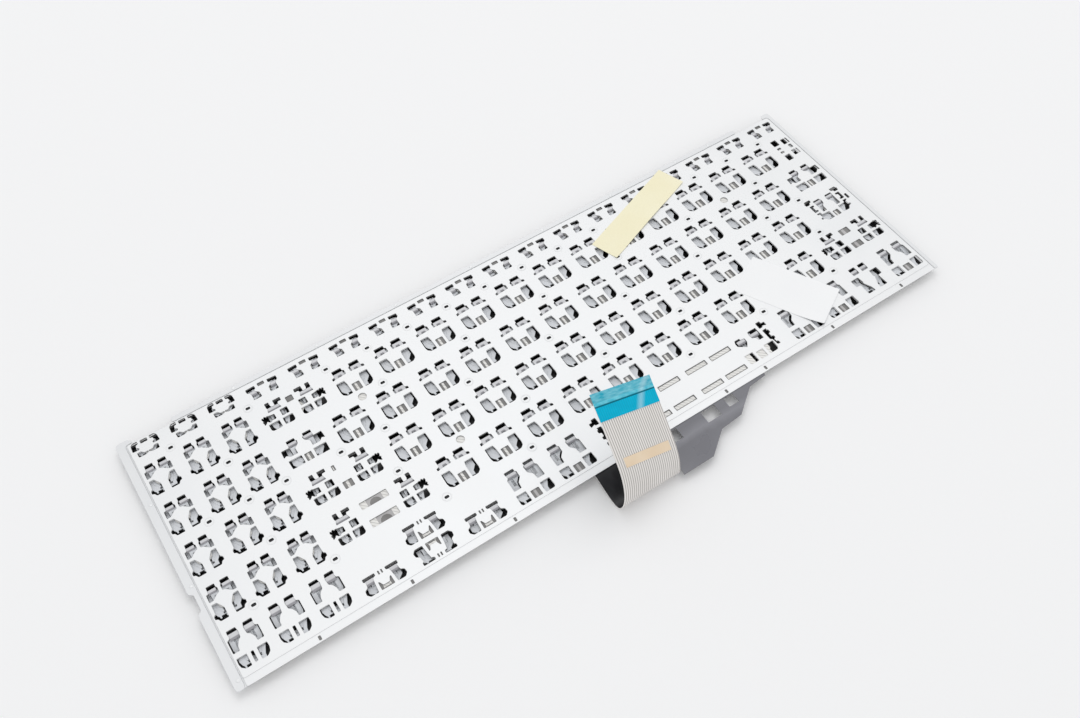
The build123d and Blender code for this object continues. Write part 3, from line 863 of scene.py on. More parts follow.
def round_points(x, y, radius, count=20):
    turn = [2 * math.pi * i / count for i in range(count)]
    return [(x + radius * math.cos(a), y + radius * math.sin(a)) for a in turn]


def pressed_ring():
    """A low ring pressed up round a slit."""
    bpy.ops.mesh.primitive_circle_add(vertices=16, radius=RING_RADIUS * MM, location=(0, 0, PLATE_TOP * MM))
    ring = bpy.context.object
    apply_place(ring)
    only(ring)
    bpy.ops.object.mode_set(mode="EDIT")
    bpy.ops.mesh.select_mode(type="EDGE")
    bpy.ops.mesh.select_all(action="SELECT")
    for radius, rise in ((0.91, 0.11), (0.93, 0.0), (0.9, -0.11)):
        bpy.ops.mesh.extrude_edges_move(TRANSFORM_OT_translate={"value": (0, 0, rise * MM)})
        bpy.ops.transform.resize(value=(radius, radius, 1), center_override=(0, 0, 0))
    bpy.ops.mesh.select_all(action="DESELECT")
    bpy.ops.mesh.select_non_manifold()
    bpy.ops.mesh.bridge_edge_loops()
    face_outwards()
    return ring


def rim_bump():
    """A small round bump pressed up in the rim."""
    at = (0, 0, RIM_Z[1] * MM)
    bpy.ops.mesh.primitive_circle_add(vertices=12, radius=BUMP_RADIUS * MM, fill_type="NGON", location=at)
    bump = bpy.context.object
    apply_place(bump)
    pick(bump, "FACE", lambda centre, normal: True)
    for radius, rise in ((0.8, 0.14), (0.5, 0.06)):
        bpy.ops.mesh.extrude_region_move(TRANSFORM_OT_translate={"value": (0, 0, rise * MM)})
        bpy.ops.transform.resize(value=(radius, radius, 1), center_override=(0, 0, 0))
    bpy.ops.mesh.select_mode(type="EDGE")
    bpy.ops.mesh.select_all(action="DESELECT")
    bpy.ops.mesh.select_non_manifold()
    bpy.ops.mesh.edge_face_add()
    face_outwards()
    return bump


# Bend of a tongue: share of its length and drop below the plate's face
TONGUE_BEND = ((0.0, -0.2), (0.55, -0.27), (0.66, -0.36), (0.82, -0.52), (1.0, -0.68))
TONGUE_WALL = 0.15
# Columns across a tongue from its inner end: share of its width, share of the bend, extra length
PLAIN_TONGUE = ((0.0, 1.0, 0.0), (1.0, 1.0, 0.0))
TOOTHED_TONGUE = (
    (0.0, 0.25, 0.35), (0.2, 0.25, 0.35), (0.28, 1.0, -0.4), (0.6, 1.0, -0.4),
    (0.68, 0.25, 0.35), (1.0, 0.25, 0.35),
)


def tongue_blank(x0, x1, y_top, y_low, columns):
    """A tongue of the plate that is pressed down towards the key and holds its links."""
    rows = len(TONGUE_BEND) - 1
    last = len(columns) - 1
    flat = TONGUE_BEND[0][1]
    bpy.ops.mesh.primitive_grid_add(x_subdivisions=last, y_subdivisions=rows, size=1)
    tongue = bpy.context.object
    for vertex in tongue.data.vertices:
        share, drop = TONGUE_BEND[round((0.5 - vertex.co.y) * rows)]
        column = round((vertex.co.x + 0.5) * last)
        across, bend, extra = columns[column if x0 > 0 else last - column]
        x = x0 + (x1 - x0) * (across if x0 > 0 else 1.0 - across)
        y = y_top + (y_low - extra - y_top) * share
        vertex.co = Vector((x, y, PLATE_TOP + flat + (drop - flat) * bend)) * MM
    wall = tongue.modifiers.new("wall", "SOLIDIFY")
    wall.thickness = TONGUE_WALL * MM
    apply_modifiers(tongue)
    bpy.ops.object.shade_smooth_by_angle(angle=math.radians(50))
    return tongue


def hook_places(key):
    """Middles of a key's hook pairs, with the kind of hook."""
    name, x, y, width, depth, kind = key
    if name == "control":
        y += CONTROL_RISE
    if kind == "wide":
        x, rise = WIDE_PLACES[name]
        y += rise
        if name in STATIONS:
            return [(x - STATIONS[name], y, "station"), (x + STATIONS[name], y, "station")]
    if kind == "space":
        y += SPACE_LINK_RISE
        return [(x - SPACE_END_X, y, "space_end"), (x + SPACE_END_X, y, "space_end")]
    return [(x, y, kind)]


def all_tongues():
    tongues = []
    for kind, (x0, x1, y_top, y_low) in TONGUES.items():
        sides = [(x0, x1)] if kind == "station" else [(x0, x1), (-x1, -x0)]
        for a, b in sides:
            columns = TOOTHED_TONGUE if kind == "main" else PLAIN_TONGUE
            blank = tongue_blank(a, b, y_top, y_low, columns)
            for key in KEYS:
                for x, y, hook in hook_places(key):
                    if hook == kind and key[0] != "arrow_down":
                        tongues.append(copy_at(blank, "hook_tongue", x, y))
            bpy.data.objects.remove(blank)
    return tongues


LEFT_BUMPS = ((-87.3, -1.5), (-87.3, -39.0), (-87.3, -78.4))
REAR_BUMPS = [(-41.0 + 36.5 * i, 28.3) for i in range(7)] + [(197.0, 28.3)]


def rim_rings(gap):
    """Outlines of the left, right and rear rims, from a gap outside the plate's edge."""
    inner_x0 = PLATE_LEFT - gap
    inner_x1 = PLATE_RIGHT + gap
    inner_y = PLATE_REAR + gap
    left_tab = PLATE_LEFT + CORNER_TAB
    right_tab = PLATE_RIGHT - CORNER_TAB
    notch_x = RIM_X0 + NOTCH_DEPTH
    left = [
        (inner_x0, PLATE_FRONT), (inner_x0, inner_y), (left_tab, inner_y), (left_tab - 1.2, RIM_Y1),
        (RIM_X0, RIM_Y1), (RIM_X0, NOTCH[1]), (notch_x, NOTCH[1] - 0.8), (notch_x, NOTCH[0] + 0.8),
        (RIM_X0, NOTCH[0]), (RIM_X0, PLATE_FRONT),
    ]
    right = [
        (inner_x1, inner_y), (inner_x1, PLATE_FRONT), (RIM_X1, PLATE_FRONT), (RIM_X1, RIM_Y1),
        (right_tab + 1.2, RIM_Y1), (right_tab, inner_y),
    ]
    rear = rect(left_tab + REAR_GAP, right_tab - REAR_GAP, inner_y, RIM_Y1)
    return [soft_corners(ring, RIM_CORNER) for ring in (left, right, rear)]


def plate_rims():
    """The rims, with a pressed groove along the plate, and the strip at the front edge."""
    groove = stamped("rim_groove", rim_rings(-RIM_LAP), RIM_Z[0], RIM_Z[1] - GROOVE_DEPTH, 0.1)
    raised = stamped("plate_rim", rim_rings(GROOVE), RIM_Z[0] + 0.05, RIM_Z[1], 0.12)
    strip = [soft_corners(rect(PLATE_LEFT, PLATE_RIGHT, PLATE_FRONT, FRONT_STRIP + RIM_LAP), 0.5)]
    for x in FRONT_SLOTS:
        strip.append(soft_corners(rect(x - 0.5, x + 0.5, PLATE_FRONT + 0.6, PLATE_FRONT + 2.3), CUT_CORNER))
    return [groove, raised, stamped("front_strip", strip, FRONT_STRIP_Z[0], FRONT_STRIP_Z[1], 0.05)]


def back_plate():
    outlines = [soft_corners(rect(PLATE_LEFT, PLATE_RIGHT, FRONT_STRIP, PLATE_REAR), 0.8)]
    for key in KEYS:
        sides, middle = key_cuts(key)
        outlines += [soft_corners(ring, CUT_CORNER) for ring in sides + middle]
    for x, y in SCREWS:
        outlines.append(round_points(x, y, SCREW_HOLE / 2))
    outlines += ring_slits(0.0)
    sheet = stamped("plate_sheet", outlines, FILM_TOP, PLATE_TOP, 0.06)
    rims = plate_rims()
    pieces = [sheet] + rims
    for blank, places in ((pressed_ring(), RINGS), (rim_bump(), list(LEFT_BUMPS) + REAR_BUMPS)):
        pieces += [copy_at(blank, "pressed_mark", x, y) for x, y in places]
        bpy.data.objects.remove(blank)
    for piece in pieces:
        piece.data.materials.append(PLATE_FINISH)
    tongues = all_tongues()
    # The tongues get the hooks' painted shade.
    for tongue in tongues:
        tongue.data.materials.append(HOOK_SHADE_FINISH)
    # Painted shade on the cut walls of the sheet, the front strip and the tongues.
    for cut in [sheet, rims[-1]] + tongues:
        wall_finish(cut, EDGE_SHADE_FINISH)
    # Lighter painted shade on the walls round the windows.
    wall_finish(sheet, WINDOW_WALL_SHADE, WINDOWS)
    # Black painted shade on the walls of the ring slits.
    wall_finish(sheet, BLACK_CAP_AND_SHADE, [grown(slit, WALL_ROOM) for slit in ring_slits(0.0)])
    plate = on_board(joined("back_plate", pieces + tongues))
    return finish_piece(plate, PLATE_FINISH, "board", "plate", "base_plate")


back_plate()


# Contact film: cut away under the hooks and windows, with its flap past the front edge
# Dark marks of painted shade on the film under the openings of an arrow key
ARROW_SHADE_MARKS = [
    rect(0.25, 1.15, 2.1, 3.9), rect(-0.95, -0.1, 2.1, 3.9), rect(-2.6, -1.5, -3.2, 0.1),
    rect(1.5, 2.7, -3.2, 0.1), rect(-1.35, 1.35, -3.3, -2.8),
]


def window_bands(ring):
    """Two bands of painted shade along the sides of a window of the plate."""
    x0, x1, y0, y1 = grown(ring, 0.15)
    wide = x1 - x0
    return [rect(x0, x0 + 0.34 * wide, y0, y1 + 0.4), rect(x0 + 0.6 * wide, x1 + 0.1, y0, y1 + 0.4)]


def slot_frame(ring):
    """Thin dark lines of painted shade round the inside of a long slot."""
    x0, x1, y0, y1 = grown(ring, 0.0)
    return [
        rect(x0 + 0.18, x0 + 0.45, y0 + 0.55, y1 - 0.3), rect(x1 - 0.25, x1 + 0.05, y0 + 0.55, y1 - 0.3),
        rect(x0 + 0.18, x1 + 0.05, y0 + 0.25, y0 + 0.5), rect(x0 + 0.18, x1 + 0.05, y1 - 0.25, y1 + 0.05),
    ]


def half_disc(x, y, radius):
    turn = [math.pi * i / 8 for i in range(9)]
    return [(x + radius * math.cos(a), y + radius * math.sin(a)) for a in turn]


def contact_film():
    x0 = PLATE_LEFT + 0.15
    x1 = PLATE_RIGHT - 0.15
    y0 = PLATE_FRONT + 0.5
    y1 = PLATE_REAR - 0.1
    outline = [
        (x0, y1), (x0, y0), (70.0, y0), (70.0, -93.0), (83.4, -93.0), (83.4, -100.1), (97.3, -100.1),
        (107.4, -92.6), (117.6, -91.8), (128.5, -83.8), (137.0, -83.0), (137.2, y0), (x1, y0), (x1, y1),
    ]
    flap_holes = [(89.0, 92.8, -87.4, -82.6), (104.8, 111.4, -87.6, -82.4), (116.0, 120.6, -86.6, -82.4)]
    outlines = [outline] + [rect(*box) for box in flap_holes]
    # Dark marks of painted shade on the film under the plate's openings: the front slots, the arrow keys,
    # the space bar's slots, the middle openings and the sides of the windows.
    shade_marks = [rect(x - 0.7, x + 0.8, PLATE_FRONT + 0.55, PLATE_FRONT + 2.7) for x in FRONT_SLOTS]
    silver = []
    for key in KEYS:
        name, x, y, width, depth, kind = key
        sides, middle = key_cuts(key)
        if kind == "space":
            ends = both_sides(moved(SPACE_END_FILM, SPACE_END_X, SPACE_END_RISE))
            sides = moved(ends, x, y)
        outlines += sides
        if kind in ("pad_function", "pad_bottom"):
            outlines += middle
        elif kind == "arrow":
            marks = flipped(ARROW_SHADE_MARKS) if name == "arrow_down" else ARROW_SHADE_MARKS
            shade_marks += moved(marks, x, y)
        elif kind == "space":
            for ring in middle:
                shade_marks += slot_frame(ring)
        elif name == "backspace" or kind == "function":
            shade_marks += [rect(*grown(ring, 0.2)) for ring in middle]
        elif name == "right_shift":
            for ring in middle:
                x0, x1, y0, y1 = grown(ring, 0.0)
                shade_marks.append(half_disc((x0 + x1) / 2 + 0.2, y0 + 0.3, 2.3))
                silver.append(rect(x0 + 2.6, x1 - 2.2, y0 - 0.2, y1 + 0.3))
        else:
            for ring in middle:
                shade_marks += window_bands(ring)
            if kind == "bottom" or name == "left_shift":
                silver += [rect(*grown(ring, 0.4)) for ring in middle]
    film = stamped("contact_film", outlines, FILM_LOW, FILM_TOP)
    film.data.materials.append(FILM_FINISH)
    # Painted shade on the film's cut walls: dark, and lighter round the windows.
    wall_finish(film, SHADE_INK_FINISH)
    wall_finish(film, WINDOW_WALL_SHADE, WINDOWS)
    finish_piece(on_board(film), FILM_FINISH, "board", "film", "membrane")
    # Sheets laid on the film: dark and black painted shade, and silver ink.
    shade_and_silver_sheets = (
        ("film_shade_marks", shade_marks, 0.03, SHADE_INK_FINISH),
        ("film_black_shade", ring_slits(SLIT_SHADE_ROOM), 0.02, BLACK_CAP_AND_SHADE),
        ("film_silver", silver, 0.015, SILVER_FINISH),
    )
    for name, rings, rise, finish in shade_and_silver_sheets:
        ink = on_board(stamped(name, rings, FILM_TOP - 0.01, FILM_TOP + rise))
        finish_piece(ink, finish, "board", "film")


contact_film()


# Ribbon, its stiffener and its sticker: edges as x, y and height over the plate
RIBBON_LEFT = [
    (55.5, -78.6, -0.875), (55.5, -82.4, -0.9), (55.5, -86.0, -1.9), (55.5, -90.0, -3.1),
    (55.5, -94.6, -3.8), (55.4, -97.6, -2.2), (55.4, -99.3, 2.2), (55.4, -99.8, 8.0), (55.4, -99.2, 13.5),
    (55.5, -97.5, 18.8), (55.6, -95.1, 23.2), (55.7, -91.9, 26.9), (55.9, -87.0, 32.0), (56.1, -81.6, 37.6),
]
RIBBON_RIGHT = [
    (83.0, -78.6, -0.875), (83.0, -82.4, -0.9), (82.9, -86.0, -1.9), (82.8, -90.0, -2.8),
    (82.6, -94.6, -3.4), (82.5, -97.2, -2.6), (82.4, -98.5, -0.8), (82.4, -98.4, 1.6), (82.4, -97.5, 4.6),
]
RUN_ACROSS = (27.0, 0.7, -11.4)
CONTACT_END = (56.3, -76.5, 42.4)
TAB_END = (56.4, -73.9, 45.0)
FILM = 0.25
STIFFENER_Z = (0.145, 0.295)
STICKER_Z = (0.145, 0.225)
STICKER_ALONG = (0.12, 0.52, 0.92)
STICKER_ACROSS = (0.12, 0.9)


def across(point):
    return tuple(a + b for a, b in zip(point, RUN_ACROSS))


def part_way(p, q, t):
    return tuple(a + (b - a) * t for a, b in zip(p, q))


def film_strip(name, left, right, columns, low, high, smooth, finishes):
    """A strip of film through pairs of edge points, with its map across and along."""
    rows = len(left) - 1
    bpy.ops.mesh.primitive_grid_add(x_subdivisions=columns, y_subdivisions=rows, size=1)
    strip = bpy.context.object
    strip.name = name
    for vertex in strip.data.vertices:
        column = vertex.co.x + 0.5
        row = round((vertex.co.y + 0.5) * rows)
        x, y, z = part_way(left[row], right[row], column)
        vertex.co = Vector((x + BOARD_X, y + BOARD_Y, z + PLATE_TOP)) * MM
    for finish in finishes:
        strip.data.materials.append(finish)
    if smooth:
        soft = strip.modifiers.new("soft", "SUBSURF")
        soft.levels = smooth
        soft.render_levels = smooth
        soft.boundary_smooth = "PRESERVE_CORNERS"
    wall = strip.modifiers.new("wall", "SOLIDIFY")
    wall.thickness = (high - low) * MM
    wall.offset = (high + low) / (high - low)
    wall.material_offset = len(finishes) - 1
    apply_modifiers(strip)
    bpy.ops.object.shade_smooth_by_angle(angle=math.radians(40))
    return strip


def tail_ribbon():
    left = RIBBON_LEFT + [CONTACT_END]
    right = RIBBON_RIGHT + [across(p) for p in RIBBON_LEFT[len(RIBBON_RIGHT):]] + [across(CONTACT_END)]
    ribbon = film_strip("tail_ribbon", left, right, 6, -FILM / 2, FILM / 2, 2, [RIBBON_FINISH, RIBBON_BACK])
    finish_piece(ribbon, RIBBON_FINISH, "board", "ribbon", "ribbon_cable")
    blue_left = [RIBBON_LEFT[-1], CONTACT_END, TAB_END]
    blue_right = [across(p) for p in blue_left]
    blue = film_strip("tail_stiffener", blue_left, blue_right, 4, *STIFFENER_Z, 0, [BLUE_FINISH])
    finish_piece(blue, BLUE_FINISH, "board", "stiffener", "ribbon_stiffener")
    ends = [part_way(RIBBON_LEFT[10], RIBBON_LEFT[11], t) for t in STICKER_ALONG]
    tag_left = [part_way(p, across(p), STICKER_ACROSS[0]) for p in ends]
    tag_right = [part_way(p, across(p), STICKER_ACROSS[1]) for p in ends]
    tag = film_strip("tail_sticker", tag_left, tag_right, 6, *STICKER_Z, 0, [TAN_PAPER])
    finish_piece(tag, TAN_PAPER, "board", "sticker", "ribbon_sticker")


tail_ribbon()


# Papers on the plate
PAPER = 0.12
PAPER_GAP = 0.02


def paper_slip(name, size, place, lift):
    """A slip of paper that lies on the plate with its corners a little lifted."""
    bpy.ops.mesh.primitive_grid_add(x_subdivisions=16, y_subdivisions=8, size=1)
    slip = bpy.context.object
    slip.name = name
    slip.scale = (size[0] * MM, size[1] * MM, 1)
    apply_place(slip)
    for vertex in slip.data.vertices:
        u = vertex.co.x / (size[0] * MM / 2)
        v = vertex.co.y / (size[1] * MM / 2)
        vertex.co.z = lift(u, v) * MM
    wall = slip.modifiers.new("wall", "SOLIDIFY")
    wall.thickness = PAPER * MM
    wall.offset = 1.0
    apply_modifiers(slip)
    slip.location = ((place[0] + BOARD_X) * MM, (place[1] + BOARD_Y) * MM, (PLATE_TOP + PAPER_GAP) * MM)
    slip.rotation_euler = (0, 0, math.radians(place[2]))
    apply_place(slip)
    bpy.ops.object.shade_smooth_by_angle(angle=math.radians(40))
    return slip


note = paper_slip(
    "paper_note", (53.6, 12.8), (145.5, 12.7, 20.5),
    lambda u, v: (0.3 + 0.15 * math.cos(4 * u)) * max(0.0, 0.2 - v) ** 2 + 0.9 * max(0.0, u - 0.75),
)
finish_piece(note, YELLOW_PAPER, "board", "note", "yellow_note")
label = paper_slip(
    "paper_label", (38.5, 20.6), (171.6, -56.2, -61.1),
    lambda u, v: 9.0 * max(0.0, (u - v) / 2 - 0.62) ** 2 + 0.3 * max(0.0, u - 0.2) ** 2,
)
finish_piece(label, WHITE_PAPER, "board", "label", "white_label")


# Keycaps, with a shallow dish in the face and a plain legend in it
DISH = 0.12
DISH_INSET = 0.55
CAP_CORNER = 1.0
FACE_EDGE = 0.3
LEGEND_HALF = 0.02
LETTER_SIZE = 5.4
WORD_SIZE = 3.3
LEGEND_WORDS = {
    "equals": "=", "minus": "-", "right_bracket": "]", "left_bracket": "[", "backslash": "\\", "quote": "'",
    "semicolon": ";", "slash": "/", "period": ".", "comma": ",", "grave": "`", "tab": "Tab",
    "caps_lock": "Caps Lock", "left_shift": "Shift", "right_shift": "Shift", "enter": "Enter",
    "backspace": "Backspace", "control": "Ctrl", "right_control": "Ctrl", "alt": "Alt", "right_alt": "Alt",
    "fn": "Fn",
}
FUNCTION_WORDS = ["Del", "Prt"] + [f"F{12 - i}" for i in range(12)] + ["Esc"]
PAD_WORDS = [["*", "/", "Num"], ["9", "8", "7"], ["6", "5", "4"], ["3", "2", "1"], ["Enter", ".", "0"]]
PAD_TOP_WORDS = ["+", "-", "Home"]
ARROW_TURNS = {"arrow_up": 0, "arrow_left": 90, "arrow_down": 180, "arrow_right": 270}


def legend_words(name):
    if name.startswith("function_"):
        return FUNCTION_WORDS[int(name.split("_")[1])]
    if name.startswith("pad_top_"):
        return PAD_TOP_WORDS[int(name[-1])]
    if name.startswith("pad_"):
        row, column = name.split("_")[1:]
        return PAD_WORDS[int(row) - 1][int(column)]
    return name.upper() if len(name) == 1 else LEGEND_WORDS.get(name, name if name.isdigit() else "")


def cap_legend(name):
    """The legend of one key, read from the side of the caps, or nothing for a bare key."""
    words = legend_words(name)
    if name in ARROW_TURNS:
        legend = stamped("legend", [[(0.0, 1.3), (-1.2, -0.9), (1.2, -0.9)]], -LEGEND_HALF, LEGEND_HALF)
        legend.data.transform(Matrix.Rotation(math.radians(ARROW_TURNS[name]), 4, "Z"))
    elif words:
        object_mode()
        bpy.ops.object.text_add(location=(0, 0, 0))
        sign = bpy.context.object
        sign.data.body = words
        sign.data.size = LETTER_SIZE if len(words) == 1 else WORD_SIZE
        sign.data.align_x = "CENTER"
        sign.data.align_y = "CENTER"
        sign.data.resolution_u = 3
        sign.data.extrude = LEGEND_HALF
        only(sign)
        bpy.ops.object.convert(target="MESH")
        legend = bpy.context.object
        legend.data.transform(Matrix.Scale(MM, 4))
    else:
        return None
    legend.data.transform(Matrix.Translation((0, 0, DISH * MM)) @ Matrix.Rotation(math.pi, 4, "Y"))
    legend.data.materials.append(LEGEND_FINISH)
    return legend


def cap_blank(width, depth):
    """A hollow cap, open towards the plate, with rounded corners and a softened face edge."""
    half = CAP_HEIGHT / 2 * MM
    bpy.ops.mesh.primitive_cube_add(size=1, location=(0, 0, half), scale=(width * MM, depth * MM, 2 * half))
    cap = bpy.context.object
    apply_place(cap)
    pick(cap, "EDGE", lambda a, b: abs(a.z - b.z) > half)
    bpy.ops.mesh.bevel(offset=CAP_CORNER * MM, segments=3, affect="EDGES")
    pick(cap, "FACE", lambda centre, normal: normal.z > 0.9)
    bpy.ops.mesh.inset(thickness=SKIRT * MM)
    bpy.ops.mesh.extrude_region_move(TRANSFORM_OT_translate={"value": (0, 0, (CAP_TOP - CAP_HEIGHT) * MM)})
    pick(cap, "EDGE", lambda a, b: max(a.z, b.z) < 0.01 * MM)
    bpy.ops.mesh.bevel(offset=FACE_EDGE * MM, segments=2, affect="EDGES")
    pick(cap, "FACE", lambda centre, normal: normal.z < -0.99 and centre.z < 0.01 * MM)
    bpy.ops.mesh.inset(thickness=DISH_INSET * MM)
    bpy.ops.transform.translate(value=(0, 0, DISH * MM))
    object_mode()
    only(cap)
    bpy.ops.object.shade_smooth_by_angle(angle=math.radians(35))
    points = cap.data.vertices
    for edge in cap.data.edges:
        edge.use_edge_sharp |= all(abs(points[i].co.z - DISH * MM) < 0.01 * MM for i in edge.vertices)
    return cap


def frame_place(key):
    return key[1] + BOARD_X, key[2] + BOARD_Y


def all_caps():
    blanks = {}
    by_name = {}
    for key in KEYS:
        size = (round(key[3], 3), round(key[4], 3))
        if size not in blanks:
            blanks[size] = cap_blank(*size)
        cap = copy_at(blanks[size], "cap_" + key[0], *frame_place(key))
        cap.data.materials.append(BLACK_CAP_AND_SHADE)
        legend = cap_legend(key[0])
        if legend:
            x, y = frame_place(key)
            legend.data.transform(Matrix.Translation((x * MM, y * MM, 0)))
            cap = joined("cap_" + key[0], [cap, legend])
        by_name[key[0]] = cap
    for blank in blanks.values():
        bpy.data.objects.remove(blank)
    for name in MOVING:
        finish_piece(by_name[name], BLACK_CAP_AND_SHADE, "key_" + name, "cap", "key_" + name)
    for group, names in GROUPS.items():
        caps = joined(group.replace("keys", "caps"), [by_name[name] for name in names])
        finish_piece(caps, BLACK_CAP_AND_SHADE, "board", "cap", group)


all_caps()


# Domes
DOME_TIP = 1.7
DOME_BASE = 2.6
DOME_FLANGE = 3.1
DOME_LOW = CAP_TOP + 0.02
DOME_HIGH = FILM_LOW - 0.02
FLANGE_FLARE = 0.1
FLANGE_WALL = 0.25
SMALL_DOME = 0.85


def dome_blank():
    tall = DOME_HIGH - DOME_LOW - FLANGE_FLARE - FLANGE_WALL
    bpy.ops.mesh.primitive_cone_add(
        vertices=12, radius1=DOME_TIP * MM, radius2=DOME_BASE * MM, depth=tall * MM,
        location=(0, 0, (DOME_LOW + tall / 2) * MM),
    )
    dome = bpy.context.object
    apply_place(dome)
    pick(dome, "FACE", lambda centre, normal: normal.z > 0.9)
    bpy.ops.mesh.extrude_region_move(TRANSFORM_OT_translate={"value": (0, 0, FLANGE_FLARE * MM)})
    ratio = DOME_FLANGE / DOME_BASE
    bpy.ops.transform.resize(value=(ratio, ratio, 1), center_override=(0, 0, 0))
    bpy.ops.mesh.extrude_region_move(TRANSFORM_OT_translate={"value": (0, 0, FLANGE_WALL * MM)})
    pick(dome, "FACE", lambda centre, normal: normal.z < -0.9)
    bpy.ops.mesh.inset(thickness=0.4 * MM)
    bpy.ops.transform.translate(value=(0, 0, 0.15 * MM))
    object_mode()
    only(dome)
    bpy.ops.object.shade_smooth_by_angle(angle=math.radians(40))
    return dome


def all_domes():
    blank = dome_blank()
    still = []
    for key in KEYS:
        name = key[0]
        dome = copy_at(blank, "dome_" + name, *frame_place(key))
        if key[4] < 10:
            x, y = frame_place(key)
            small = Matrix.Diagonal((SMALL_DOME, SMALL_DOME, 1, 1))
            shrink = Matrix.Translation((x * MM, y * MM, 0)) @ small
            dome.data.transform(shrink @ Matrix.Translation((-x * MM, -y * MM, 0)))
        if name not in MOVING:
            still.append(dome)
            continue
        finish_piece(dome, RUBBER_FINISH, "board", "rubber")
        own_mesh(dome)
    bpy.data.objects.remove(blank)
    finish_piece(joined("fixed_domes", still), RUBBER_FINISH, "board", "rubber", "rubber_domes")


all_domes()


# Scissor links: the outer one stands high at its front end, the inner one at its rear end.
OUTER_REACH = 5.4
INNER_REACH = 4.0
LINK_HALF = 0.45
OUTER_LEFT = [
    (-5.95, 5.85), (-6.2, -3.3), (-5.6, -4.5), (-5.0, -5.1), (-4.9, -5.95), (-4.25, -5.95), (-4.25, -5.0),
    (-2.1, -5.0), (-2.1, -5.95),
]
NARROW_SIDE = [(4.2, -5.95), (4.3, -4.75), (5.95, -2.05), (5.95, 5.85)]
BROAD_SIDE = [(4.5, -5.95), (4.55, -4.25), (6.4, -2.25), (6.4, 5.85)]
OUTER_ROOM = [
    (-4.6, 4.75), (-4.6, -1.5), (-2.95, -4.2), (-2.95, -4.75), (2.95, -4.75), (2.95, -4.2),
    (4.6, -1.5), (4.6, 4.75),
]
LINK_PAD = [
    (4.7, 0.6), (3.15, 0.6), (3.15, -0.9), (2.4, -2.2), (2.4, -3.9), (2.95, -3.9), (3.0, -4.3), (4.7, -1.5),
]
INNER_RING = [
    (-4.4, 4.45), (-4.4, -1.4), (-2.75, -4.1), (-2.75, -4.45), (2.75, -4.45), (2.75, -4.1),
    (4.4, -1.4), (4.4, 4.45),
]
INNER_EAR = [(3.4, -1.2), (5.2, -1.2), (6.3, 0.6), (6.3, 3.6), (5.6, 4.2), (3.4, 4.2)]
INNER_REAR = [
    (-4.4, 0.7), (-3.15, 0.7), (-3.15, 3.4), (3.15, 3.4), (3.15, 0.7), (4.4, 0.7), (4.4, 4.45), (-4.4, 4.45),
]
# Size across and along the key of each kind of scissor
SCISSORS = {
    "main": (1.0, 1.0), "pad": (0.84, 1.0), "bottom": (1.18, 1.3), "pad_bottom": (0.84, 1.28),
    "function": (1.0, 0.5), "pad_function": (0.64, 0.5), "arrow": (1.1, 0.58), "station": (0.6, 0.92),
    "space_end": (0.57, 0.88), "fn": (1.0, 1.1), "wide": (1.1, 0.95), "turned": (0.5, 0.7),
}


def link_blanks(across, along, eared, broad):
    """The two links of one scissor, flat, at the origin, the outer one broad or the inner one eared."""
    def sized(rings):
        return [[(x * across, y * along) for x, y in ring] for ring in rings]

    ring = OUTER_LEFT + (BROAD_SIDE if broad else NARROW_SIDE)
    bars = stamped("outer_bars", sized([ring, OUTER_ROOM]), -LINK_HALF, LINK_HALF)
    pads = stamped("outer_pads", sized(both_sides([LINK_PAD])), 0.2, LINK_HALF)
    flat = stamped("inner_bars", sized([INNER_RING, round_points(0, 0, 3.2, 12)]), -LINK_HALF, 0.15)
    rear = stamped("inner_rear", sized([INNER_REAR]), 0.1, LINK_HALF)
    inner = [flat, rear]
    if eared:
        inner.append(stamped("inner_ears", sized(both_sides([INNER_EAR])), 0.12, LINK_HALF))
    links = joined("outer_link", [bars, pads]), joined("inner_link", inner)
    for link in links:
        link.data.materials.append(LINK_FINISH)
        # Painted shade on the links' walls.
        wall_finish(link, LINK_WALL_SHADE)
    return links


LINK_BLANKS = {}
for kind, size in SCISSORS.items():
    LINK_BLANKS[kind] = link_blanks(*size, "bottom" in kind, kind in ("main", "pad"))


def tilted(blank, name, place, reach, sign, turn):
    """A copy of a link blank, tilted about its middle and set under a key."""
    link = copy_at(blank, name, 0, 0)
    angle = sign * math.asin(TRAVEL / (2 * reach))
    rise = LINK_Z - TRAVEL / 2
    at = Matrix.Translation(((place[0] + BOARD_X) * MM, (place[1] + BOARD_Y) * MM, rise * MM))
    link.data.transform(at @ Matrix.Rotation(turn, 4, "Z") @ Matrix.Rotation(angle, 4, "X"))
    return link


def scissor(name, x, y, kind):
    along = SCISSORS[kind][1]
    turn = math.radians(90) if kind == "turned" else 0.0
    outer, inner = LINK_BLANKS[kind]
    first = tilted(outer, "outer_link_" + name, (x, y), OUTER_REACH * along, -1, turn)
    return [first, tilted(inner, "inner_link_" + name, (x, y), INNER_REACH * along, 1, turn)]


def all_links():
    still = []
    for key in KEYS:
        name = key[0]
        if name in JOINTED:
            centre_y = key[2] - OUTER_REACH * (1 - math.cos(math.asin(TRAVEL / (2 * OUTER_REACH))))
            outer, inner = scissor(name, key[1], centre_y, "main")
            finish_piece(outer, LINK_FINISH, f"key_{name}_outer_link", "link", f"key_{name}_outer_link")
            finish_piece(inner, LINK_FINISH, f"key_{name}_inner_link", "link", f"key_{name}_inner_link")
            continue
        pairs = []
        for x, y, kind in hook_places(key):
            pairs += scissor(name, x, y, kind)
        if name in MOVING:
            links = joined("links_" + name, pairs)
            finish_piece(links, LINK_FINISH, "board", "link")
            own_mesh(links)
        else:
            still += pairs
    finish_piece(joined("fixed_links", still), LINK_FINISH, "board", "link")
    for outer, inner in LINK_BLANKS.values():
        bpy.data.objects.remove(outer)
        bpy.data.objects.remove(inner)


